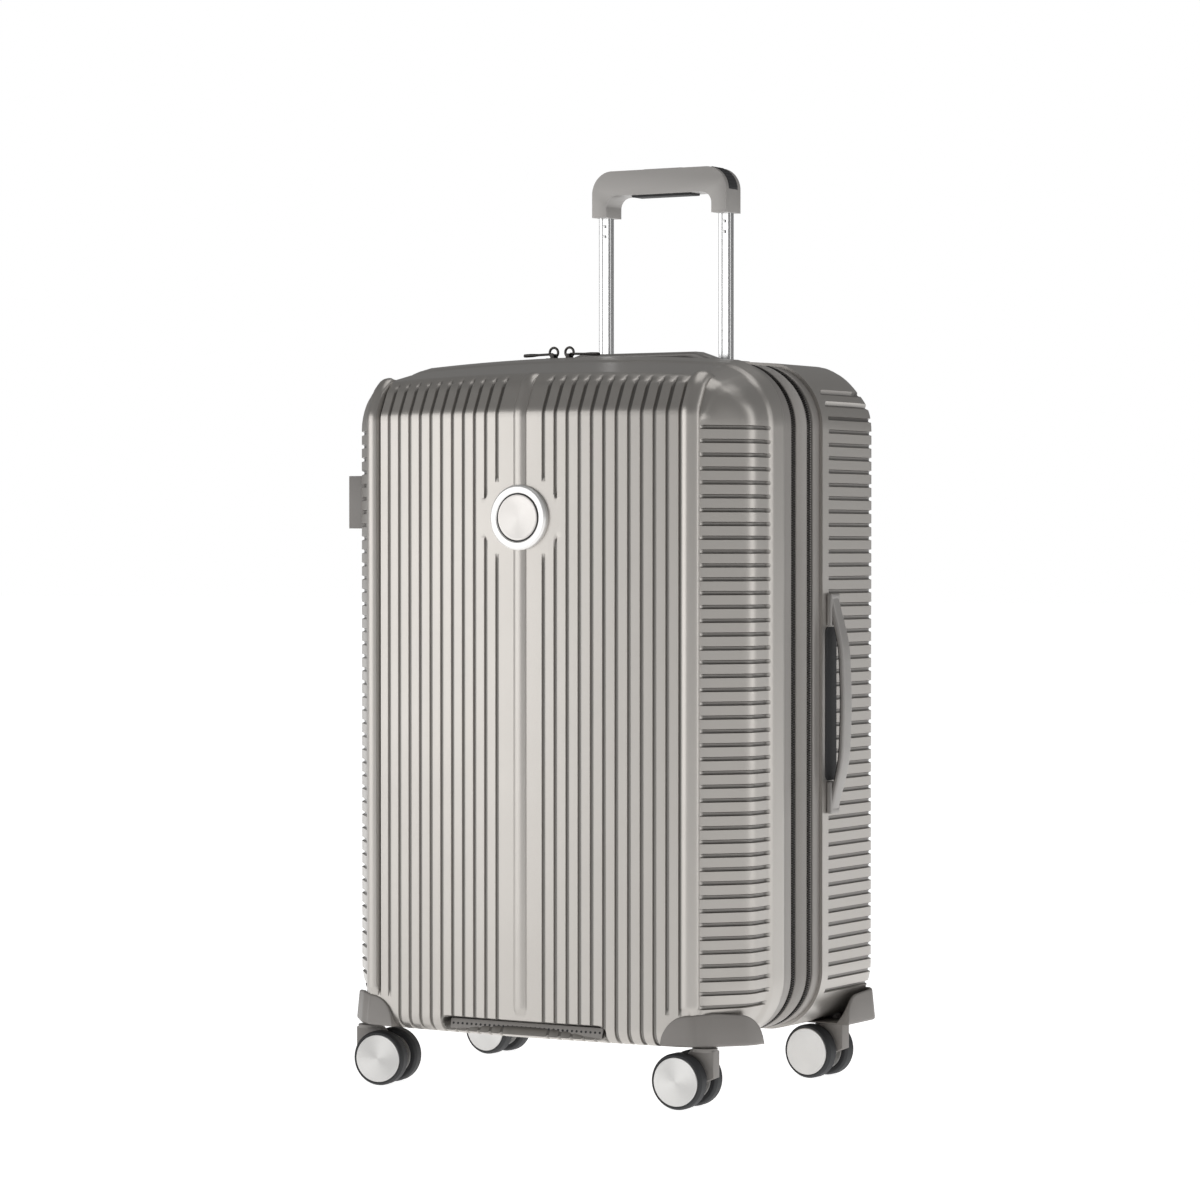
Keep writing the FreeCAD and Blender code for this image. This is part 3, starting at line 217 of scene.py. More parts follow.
def srgb(red: int, green: int, blue: int) -> tuple[float, float, float]:
    """Turns an 8 bit display colour into linear light."""
    shown = np.array([red, green, blue]) / 255
    linear = np.where(shown <= 0.04045, shown / 12.92, ((shown + 0.055) / 1.055) ** 2.4)
    return tuple(float(x) for x in linear)


class Pattern(Enum):
    """What a surface shows close up."""

    GRAIN = "fine_grain"
    STREAK = "long_streaks"
    SPUN = "turned_rings"
    WEAVE = "plain_weave"


class NodeBench:
    """A short hand for laying out one node tree."""

    def __init__(self, tree: bpy.types.NodeTree) -> None:
        """Args: tree: the node tree to fill."""
        self.tree = tree

    def add(self, kind: str, inputs: dict | None = None, **settings: object) -> bpy.types.Node:
        """Adds a node.

        Args:
            kind: the node's type name.
            inputs: values, or sockets to link from, by input name or number.
            settings: the node's own properties.

        Returns:
            The new node.
        """
        node = self.tree.nodes.new(kind)
        for name, value in settings.items():
            setattr(node, name, value)
        for name, value in (inputs or {}).items():
            if isinstance(value, bpy.types.NodeSocket):
                self.tree.links.new(value, node.inputs[name])
            else:
                node.inputs[name].default_value = value
        return node

    def maths(self, operation: str, first: object, second: object = 0.0) -> bpy.types.NodeSocket:
        """Returns the result of a Math node over two numbers or sockets."""
        return self.add("ShaderNodeMath", {0: first, 1: second}, operation=operation).outputs[0]


class PatternGroup:
    """A shader node group for one pattern. All of them have the same inputs and outputs."""

    INPUTS = (("Vector", "NodeSocketVector"), ("Scale", "NodeSocketFloat"),
              ("Colour", "NodeSocketColor"), ("Second Colour", "NodeSocketColor"),
              ("Amount", "NodeSocketFloat"), ("Roughness", "NodeSocketFloat"),
              ("Spread", "NodeSocketFloat"))
    OUTPUTS = (("Colour", "NodeSocketColor"), ("Roughness", "NodeSocketFloat"),
               ("Height", "NodeSocketFloat"))
    made: dict[Pattern, bpy.types.NodeTree] = {}

    @classmethod
    def of(cls, pattern: Pattern) -> bpy.types.NodeTree:
        """Returns the group for a pattern, made once."""
        if pattern not in cls.made:
            cls.made[pattern] = cls._build(pattern)
        return cls.made[pattern]

    @classmethod
    def _build(cls, pattern: Pattern) -> bpy.types.NodeTree:
        """Builds the group: height and tone from the pattern, colour and roughness from the tone."""
        tree = bpy.data.node_groups.new(pattern.value, "ShaderNodeTree")
        for name, kind in cls.INPUTS:
            tree.interface.new_socket(name, in_out="INPUT", socket_type=kind)
        for name, kind in cls.OUTPUTS:
            tree.interface.new_socket(name, in_out="OUTPUT", socket_type=kind)
        bench = NodeBench(tree)
        given = bench.add("NodeGroupInput").outputs
        spot = bench.add("ShaderNodeVectorMath", {0: given["Vector"], 3: given["Scale"]},
                         operation="SCALE").outputs[0]
        height = {Pattern.GRAIN: cls._grain, Pattern.STREAK: cls._streak,
                  Pattern.SPUN: cls._spun, Pattern.WEAVE: cls._weave}[pattern](bench, spot)
        broad = bench.add("ShaderNodeVectorMath", {0: given["Vector"], 3: 0.013},
                          operation="SCALE").outputs[0]
        cloud = cls._noise(bench, broad, (1, 1, 1), 4.0)
        close, far = bench.maths("MULTIPLY", height, 0.45), bench.maths("MULTIPLY", cloud, 0.55)
        tone = bench.maths("ADD", close, far)
        share = bench.maths("MULTIPLY", tone, given["Amount"])
        mix = bench.add("ShaderNodeMix", {"Factor": share}, data_type="RGBA")
        tree.links.new(given["Colour"], mix.inputs[6])
        tree.links.new(given["Second Colour"], mix.inputs[7])
        swing = bench.maths("MULTIPLY", bench.maths("SUBTRACT", tone, 0.5), given["Spread"])
        bench.add("NodeGroupOutput", {"Colour": mix.outputs[2], "Height": height,
                                      "Roughness": bench.maths("ADD", swing, given["Roughness"])})
        return tree

    @staticmethod
    def _noise(bench: NodeBench, spot: bpy.types.NodeSocket, stretch: tuple[float, float, float],
               detail: float) -> bpy.types.NodeSocket:
        """Returns noise read at spot, squeezed along each axis by stretch."""
        squeezed = bench.add("ShaderNodeVectorMath", {0: spot, 1: stretch}, operation="MULTIPLY").outputs[0]
        noise = bench.add("ShaderNodeTexNoise", {"Vector": squeezed, "Scale": 1.0, "Detail": detail})
        return noise.outputs["Fac"]

    @classmethod
    def _grain(cls, bench: NodeBench, spot: bpy.types.NodeSocket) -> bpy.types.NodeSocket:
        """Returns an even noise, as on a moulded or sprayed surface."""
        return cls._noise(bench, spot, (1, 1, 1), 3.0)

    @classmethod
    def _streak(cls, bench: NodeBench, spot: bpy.types.NodeSocket) -> bpy.types.NodeSocket:
        """Returns noise drawn out along Z, as on a brushed tube."""
        return cls._noise(bench, spot, (1, 1, 0.012), 2.0)

    @classmethod
    def _spun(cls, bench: NodeBench, spot: bpy.types.NodeSocket) -> bpy.types.NodeSocket:
        """Returns noise drawn out round the turn, as on a spun disc. It reads (turn, radius)."""
        return cls._noise(bench, spot, (0.6, 1, 1), 2.0)

    @classmethod
    def _weave(cls, bench: NodeBench, spot: bpy.types.NodeSocket) -> bpy.types.NodeSocket:
        """Returns sine(u) times sine(v): threads that go over and under each other."""
        axes = bench.add("ShaderNodeSeparateXYZ", {0: spot}).outputs
        waves = bench.maths("MULTIPLY", bench.maths("SINE", axes[0]), bench.maths("SINE", axes[1]))
        return bench.maths("ADD", bench.maths("MULTIPLY", waves, 0.5), 0.5)


@dataclass(frozen=True)
class Finish:
    """One finish: its colours, its gloss, and the pattern that shows close up.

    scale is how many pattern steps go to a millimetre, bump the pattern's height in millimetres,
    amount how much of the second colour shows, spread how far the roughness swings, and the last field
    how much painted shade darkens the bottom of a groove.
    """

    slot: str
    colour: tuple[float, float, float]
    second: tuple[float, float, float]
    pattern: Pattern = Pattern.GRAIN
    scale: float = 2.0
    bump: float = 0.02
    metallic: float = 0.0
    roughness: float = 0.5
    spread: float = 0.1
    amount: float = 0.5
    coat: float = 0.0
    sheen: float = 0.0
    anisotropic: float = 0.0
    hollow: float = 0.0

    def material(self) -> bpy.types.Material:
        """Returns the finish's material, made once."""
        found = bpy.data.materials.get(self.slot + "_finish")
        if found:
            return found
        made = bpy.data.materials.new(self.slot + "_finish")
        made.use_nodes = True
        made.node_tree.nodes.clear()
        bench = NodeBench(made.node_tree)
        by_map = self.pattern in (Pattern.SPUN, Pattern.WEAVE)
        place = bench.add("ShaderNodeTexCoord").outputs["UV" if by_map else "Object"]
        unit = 1 if by_map else 1 / MM
        spot = bench.add("ShaderNodeMapping", {"Vector": place, "Scale": (unit,) * 3}).outputs[0]
        look = bench.add("ShaderNodeGroup", node_tree=PatternGroup.of(self.pattern))
        for name, value in (("Scale", self.scale), ("Colour", (*self.colour, 1)), ("Amount", self.amount),
                            ("Second Colour", (*self.second, 1)), ("Roughness", self.roughness),
                            ("Spread", self.spread)):
            look.inputs[name].default_value = value
        made.node_tree.links.new(spot, look.inputs["Vector"])
        bump = bench.add("ShaderNodeBump", {"Height": look.outputs["Height"], "Strength": 1.0,
                                            "Distance": self.bump * MM})
        # Painted shade: the colour is darkened where the point sinks into a groove, most at the groove's
        # bottom.
        groove_shade_mask = bench.add("ShaderNodeAttribute", attribute_name="hollow").outputs["Fac"]
        unshaded_share = bench.maths("SUBTRACT", 1.0, bench.maths("MULTIPLY", groove_shade_mask, self.hollow))
        colour = bench.add("ShaderNodeVectorMath", {0: look.outputs["Colour"], 3: unshaded_share}, operation="SCALE")
        shader = bench.add("ShaderNodeBsdfPrincipled", {
            "Base Color": colour.outputs[0], "Roughness": look.outputs["Roughness"],
            "Normal": bump.outputs[0], "Metallic": self.metallic, "Coat Weight": self.coat,
            "Coat Roughness": 0.25, "Sheen Weight": self.sheen, "Anisotropic": self.anisotropic})
        if self.pattern is Pattern.SPUN:
            tangent = bench.add("ShaderNodeTangent", direction_type="UV_MAP", uv_map="UVMap")
            made.node_tree.links.new(tangent.outputs[0], shader.inputs["Tangent"])
        bench.add("ShaderNodeOutputMaterial", {"Surface": shader.outputs[0]})
        made.diffuse_color = (*self.colour, 1)
        return made


PALETTE = {f.slot: f for f in (
    # The shell darkens its colour at the bottoms of its grooves as painted shade.
    Finish("shell", srgb(183, 179, 174), srgb(163, 159, 154), scale=3.2, bump=0.006, metallic=0.82,
           roughness=0.34, spread=0.06, amount=0.35, coat=0.15, hollow=0.6),
    Finish("trim", srgb(138, 134, 130), srgb(120, 116, 113), scale=4.0, bump=0.03, roughness=0.5),
    Finish("rim", srgb(150, 146, 142), srgb(134, 130, 127), scale=4.0, bump=0.01, metallic=0.45,
           roughness=0.38),
    Finish("zip_tape", srgb(146, 142, 138), srgb(108, 104, 101), Pattern.WEAVE, scale=4.2, bump=0.16,
           roughness=0.82, sheen=0.3, amount=0.8),
    Finish("gusset_fabric", srgb(152, 147, 142), srgb(114, 110, 106), Pattern.WEAVE, scale=3.6, bump=0.18,
           roughness=0.85, sheen=0.3, amount=0.8),
    Finish("lining_fabric", srgb(92, 92, 96), srgb(70, 70, 74), Pattern.WEAVE, scale=5.0, bump=0.08,
           roughness=0.7, sheen=0.4, amount=0.7),
    Finish("strap_webbing", srgb(62, 62, 64), srgb(40, 40, 42), Pattern.WEAVE, scale=2.4, bump=0.3,
           roughness=0.8, sheen=0.3, amount=0.8),
    Finish("satin_metal", srgb(240, 239, 237), srgb(226, 225, 223), scale=5.0, bump=0.004, metallic=0.5,
           roughness=0.3, spread=0.06),
    Finish("spun_metal", srgb(196, 193, 190), srgb(160, 157, 153), Pattern.SPUN, scale=6.0, bump=0.02,
           metallic=1.0, roughness=0.3, anisotropic=0.75),
    Finish("lock_body", srgb(118, 115, 112), srgb(100, 97, 94), scale=4.0, bump=0.02, metallic=0.4,
           roughness=0.42),
    Finish("lock_dial", srgb(38, 38, 40), srgb(58, 58, 60), scale=4.0, bump=0.01, metallic=0.3,
           roughness=0.4),
    Finish("gunmetal", srgb(78, 76, 74), srgb(56, 54, 53), scale=4.0, bump=0.01, metallic=0.9,
           roughness=0.34),
    Finish("tube_metal", srgb(236, 236, 236), srgb(216, 216, 216), Pattern.STREAK, scale=5.0, bump=0.004,
           metallic=1.0, roughness=0.2, spread=0.08),
    Finish("steel", srgb(190, 190, 190), srgb(150, 150, 150), scale=3.0, bump=0.006, metallic=1.0,
           roughness=0.26),
    Finish("grip_plastic", srgb(158, 155, 152), srgb(142, 139, 136), scale=4.0, bump=0.012, metallic=0.35,
           roughness=0.4, coat=0.1),
    Finish("soft_pad", srgb(34, 34, 35), srgb(52, 52, 53), scale=2.6, bump=0.05, roughness=0.72),
    Finish("button_silver", srgb(206, 204, 202), srgb(188, 186, 184), scale=5.0, bump=0.004, metallic=0.9,
           roughness=0.24),
    Finish("tyre", srgb(34, 35, 37), srgb(50, 51, 53), scale=2.2, bump=0.04, roughness=0.6),
    Finish("wheel_disc", srgb(206, 205, 203), srgb(168, 167, 165), Pattern.SPUN, scale=5.0, bump=0.02,
           metallic=1.0, roughness=0.3, anisotropic=0.7),
)}


# ---------------------------------------------------------------- making pieces

class Skin:
    """Collects grids of points in millimetres and welds them into one piece."""

    def __init__(self) -> None:
        """Starts with nothing in it."""
        self.points: list[np.ndarray] = []
        self.faces: list[np.ndarray] = []
        self.maps: list[np.ndarray] = []
        self.rises: list[np.ndarray] = []
        self.count = 0

    def grid(self, points: np.ndarray, spots: np.ndarray | None = None, rise: np.ndarray | None = None,
             drop: np.ndarray | None = None) -> "Skin":
        """Adds a grid, with a face between each four neighbours.

        Args:
            points: rows by columns by three.
            spots: the surface's own map, rows by columns by two, or None.
            rise: how far each point moves along its normal once all is welded, or None.
            drop: one value for each face, true where there is a hole, or None.

        Returns:
            This skin.
        """
        rows, columns = points.shape[:2]
        index = np.arange(rows * columns).reshape(rows, columns) + self.count
        quads = np.stack([index[:-1, :-1], index[:-1, 1:], index[1:, 1:], index[1:, :-1]], -1)
        quads = quads[~drop] if drop is not None else quads.reshape(-1, 4)
        self.points.append(points.reshape(-1, 3))
        self.faces.append(quads)
        self.maps.append(np.zeros((rows * columns, 2)) if spots is None else spots.reshape(-1, 2))
        self.rises.append(np.zeros(rows * columns) if rise is None else rise.ravel())
        self.count += rows * columns
        return self

    def blocks(self, places: np.ndarray, axes: np.ndarray, shape: np.ndarray) -> "Skin":
        """Adds a small eight cornered block at each place: corner = place + shape in the place's axes.

        Args:
            places: count by three.
            axes: count by three by three, the rows being the block's own axes.
            shape: the eight corners, four of one end and then four of the other.

        Returns:
            This skin.
        """
        corners = places[:, None] + np.einsum("ck,nkx->ncx", shape, axes)
        sides = np.array([(0, 1, 2, 3), (7, 6, 5, 4), (0, 4, 5, 1), (1, 5, 6, 2), (2, 6, 7, 3),
                          (3, 7, 4, 0)])
        faces = (sides[None] + 8 * np.arange(len(places))[:, None, None]).reshape(-1, 4) + self.count
        self.points.append(corners.reshape(-1, 3))
        self.faces.append(faces)
        self.maps.append(np.zeros((8 * len(places), 2)))
        self.rises.append(np.zeros(8 * len(places)))
        self.count += 8 * len(places)
        return self

    def mirrored(self) -> "Skin":
        """Adds a copy of all there is, mirrored left to right."""
        self.faces += [f[:, ::-1] + self.count for f in self.faces]
        self.points += [p * np.array([-1, 1, 1]) for p in self.points]
        self.maps += list(self.maps)
        self.rises += list(self.rises)
        self.count *= 2
        return self

    def piece(self, name: str, body: str, slot: str, *nodes: str, weld: float = 0.02,
              crease: float = 35.0, hard: bool = False) -> bpy.types.Object:
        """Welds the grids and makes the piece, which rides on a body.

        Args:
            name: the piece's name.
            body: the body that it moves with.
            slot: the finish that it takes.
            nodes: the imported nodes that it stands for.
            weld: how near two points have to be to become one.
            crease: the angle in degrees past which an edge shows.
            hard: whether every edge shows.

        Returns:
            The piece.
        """
        mesh = bpy.data.meshes.new(name)
        mesh.from_pydata(np.concatenate(self.points).tolist(), [], np.concatenate(self.faces).tolist())
        corner = np.empty(len(mesh.loops), np.int32)
        mesh.loops.foreach_get("vertex_index", corner)
        mesh.uv_layers.new(name="UVMap").data.foreach_set("uv", np.concatenate(self.maps)[corner].ravel())
        rise = mesh.attributes.new("rise", "FLOAT", "POINT")
        rise.data.foreach_set("value", np.concatenate(self.rises))
        bench = bmesh.new()
        bench.from_mesh(mesh)
        bmesh.ops.remove_doubles(bench, verts=bench.verts, dist=weld)
        bmesh.ops.dissolve_degenerate(bench, dist=weld / 4, edges=bench.edges)
        bmesh.ops.recalc_face_normals(bench, faces=bench.faces)
        bench.to_mesh(mesh)
        bench.free()
        self._raise(mesh)
        return dressed(name, mesh, body, slot, *nodes, crease=0.0 if hard else crease)

    @staticmethod
    def _raise(mesh: bpy.types.Mesh) -> None:
        """Moves each point along its normal by its rise, turns millimetres into metres and marks groove
        bottoms for painted shade.
        """
        count = len(mesh.vertices)
        points, normals, rise = np.empty(count * 3), np.empty(count * 3), np.empty(count)
        mesh.vertices.foreach_get("co", points)
        mesh.vertex_normals.foreach_get("vector", normals)
        mesh.attributes["rise"].data.foreach_get("value", rise)
        mesh.vertices.foreach_set("co", (points + normals * np.repeat(rise, 3)) * MM)
        mesh.attributes.remove(mesh.attributes["rise"])
        # The attribute written here marks painted shade: 0 on the plain skin, 1 at the bottom of a groove.
        hollow = mesh.attributes.new("hollow", "FLOAT", "POINT")
        hollow.data.foreach_set("value", smooth(-rise, *GROOVE_SHADE_SPAN))
        mesh.update()


def dressed(name: str, mesh: bpy.types.Mesh, body: str, slot: str, *nodes: str,
            crease: float = 35.0) -> bpy.types.Object:
    """Turns a finished mesh into a piece with its finish, its body and the nodes it stands for."""
    mesh.name = name
    mesh.materials.clear()
    mesh.materials.append(PALETTE[slot].material())
    mesh.shade_smooth()
    if crease < 180:
        mesh.set_sharp_from_angle(angle=math.radians(crease))
    piece = bpy.data.objects.new(name, mesh)
    bpy.context.scene.collection.objects.link(piece)
    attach(piece, body)
    if nodes:
        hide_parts(*nodes)
    LOG.info("%s: %d faces on %s", name, len(mesh.polygons), body)
    return piece


def softened(node: str, slot: str, radius: float, segments: int = 3,
             angle: float = 28.0) -> bpy.types.Object:
    """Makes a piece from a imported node's own shape, with its edges rounded.

    Args:
        node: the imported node.
        slot: its finish.
        radius: how far the rounding reaches from each edge.
        segments: steps across the rounding.
        angle: the least angle in degrees of an edge that is rounded.

    Returns:
        The piece, named after the node.
    """
    source = frame["nodes"][node]
    mesh = source.data.copy()
    bench = bmesh.new()
    bench.from_mesh(mesh)
    bmesh.ops.remove_doubles(bench, verts=bench.verts, dist=0.02 * MM)
    bmesh.ops.dissolve_limit(bench, angle_limit=math.radians(1.5), verts=bench.verts, edges=bench.edges)
    sharp = [e for e in bench.edges if e.is_manifold and e.calc_face_angle(0) > math.radians(angle)]
    bmesh.ops.bevel(bench, geom=sharp, offset=radius * MM, segments=segments, profile=0.5, affect="EDGES",
                    clamp_overlap=True)
    bmesh.ops.remove_doubles(bench, verts=bench.verts, dist=0.005 * MM)
    bmesh.ops.recalc_face_normals(bench, faces=bench.faces)
    bench.to_mesh(mesh)
    bench.free()
    if "custom_normal" in mesh.attributes:
        mesh.attributes.remove(mesh.attributes["custom_normal"])
    return dressed(node + "_finished", mesh, str(source["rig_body"]), slot, node, crease=30.0)


def box_mm(node: str) -> tuple[np.ndarray, np.ndarray]:
    """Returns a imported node's lowest and highest corners in millimetres."""
    low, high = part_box(node)
    return np.array(low) / MM, np.array(high) / MM


# ---------------------------------------------------------------- the case

@dataclass
class Outline:
    """The case seen from the front: a closed line in X and Z that both shells share."""

    half_width: float = 214.0
    bottom: float = 54.0
    top: float = 683.0
    crown_side: float = 676.5
    crown_half: float = 168.0
    shoulder_half: float = 190.0
    shoulder_mid: float = 665.0
    shoulder_low: float = 617.0
    corner: float = 58.0
    middle: np.ndarray = field(init=False)
    radius: float = field(init=False)

    def __post_init__(self) -> None:
        """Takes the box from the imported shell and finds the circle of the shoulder's three points."""
        low, high = box_mm("front_shell")
        self.half_width, self.bottom, self.top = high[0], low[2], high[2]
        spots = np.array([(self.crown_half, self.crown_side), (self.shoulder_half, self.shoulder_mid),
                          (self.half_width, self.shoulder_low)])
        level = 2 * (spots[1:] - spots[0])
        self.middle = np.linalg.solve(level, (spots[1:] ** 2).sum(1) - (spots[0] ** 2).sum())
        self.radius = float(np.linalg.norm(spots[0] - self.middle))

    def top_at(self, x: np.ndarray) -> np.ndarray:
        """Returns the height of the outline's top: a low crown, then the shoulder's circle."""
        x = np.abs(x)
        crown = self.top - (self.top - self.crown_side) * (x / self.crown_half) ** 2
        reach = np.clip(self.radius ** 2 - (x - self.middle[0]) ** 2, 0, None)
        return np.where(x <= self.crown_half, crown, self.middle[1] + np.sqrt(reach))

    def bottom_at(self, x: np.ndarray) -> np.ndarray:
        """Returns the height of the outline's bottom: flat, then the lower corner's circle."""
        past = np.clip(np.abs(x) - (self.half_width - self.corner), 0, self.corner)
        return self.bottom + self.corner - np.sqrt(self.corner ** 2 - past ** 2)

    def side_at(self, z: np.ndarray) -> np.ndarray:
        """Returns the half width at a height: the lower corner, the straight side, the shoulder."""
        below = np.clip(self.bottom + self.corner - z, 0, self.corner)
        low = self.half_width - self.corner + np.sqrt(self.corner ** 2 - below ** 2)
        reach = np.clip(self.radius ** 2 - (z - self.middle[1]) ** 2, 0, None)
        return np.where(z > self.shoulder_low, self.middle[0] + np.sqrt(reach), low)

    def normal(self, x: np.ndarray, z: np.ndarray) -> np.ndarray:
        """Returns the outward direction (X, Z) at points of the outline with x of 0 or more."""
        x, z = np.broadcast_arrays(np.asarray(x, float), np.asarray(z, float))
        centre = np.stack([np.clip(x, 0, self.half_width - self.corner),
                           np.full(x.shape, self.bottom + self.corner)], -1)
        low = z < self.bottom + self.corner
        shoulder = (x >= self.crown_half) & (z > self.shoulder_low)
        crown = (x < self.crown_half) & (z > self.shoulder_low)
        out = np.stack([np.ones(x.shape), np.zeros(x.shape)], -1)
        out[low] = (np.stack([x, z], -1) - centre)[low]
        out[shoulder] = (np.stack([x, z], -1) - self.middle)[shoulder]
        slope = 2 * (self.top - self.crown_side) * x / self.crown_half ** 2
        out[crown] = np.stack([slope, np.ones(x.shape)], -1)[crown]
        return out / np.linalg.norm(out, axis=-1, keepdims=True)

    def loop(self, count: int = 420) -> tuple[np.ndarray, np.ndarray, np.ndarray]:
        """Returns count + 1 even points round the outline, their outward directions and running length."""
        turn = np.linspace(-math.pi / 2, 0, 24)
        low = np.array([self.half_width - self.corner, self.bottom + self.corner])
        corner = low + self.corner * np.stack([np.cos(turn), np.sin(turn)], -1)
        z = np.linspace(self.shoulder_low, self.top_at(np.array(self.crown_half)), 40)
        x = np.linspace(self.crown_half, 0, 40)
        half = np.concatenate([[(0, self.bottom)], corner, np.stack([self.side_at(z), z], -1),
                               np.stack([x, self.top_at(x)], -1)])
        whole = np.concatenate([half, (half * np.array([-1, 1]))[::-1]])
        apart = np.concatenate([[True], np.diff(lengths(whole)) > 0])
        points = resampled(whole[apart], count + 1)
        along = np.gradient(points, axis=0)
        along[[0, -1]] = points[1] - points[-2]
        along /= np.linalg.norm(along, axis=1)[:, None]
        return points, np.stack([along[:, 1], -along[:, 0]], -1), lengths(points)

    def hoop(self, profile: np.ndarray, count: int = 420) -> tuple[np.ndarray, np.ndarray]:
        """Carries a closed profile of (Y, distance out of the outline) round the case.

        Returns:
            The grid of points, and its map of (length round the case, length round the profile).
        """
        points, out, run = self.loop(count)
        spot = points[:, None] + profile[None, :, 1:] * out[:, None]
        depth = np.broadcast_to(profile[None, :, 0], spot.shape[:2])
        return (np.stack([spot[..., 0], depth, spot[..., 1]], -1),
                np.stack(np.meshgrid(run, lengths(profile), indexing="ij"), -1))


class Zone(Enum):
    """The parts of a shell's skin."""

    PANEL = "panel"
    TOP = "top"
    BOTTOM = "bottom"
    SIDE = "side"
    SHOULDER = "shoulder"
    FOOT = "foot"


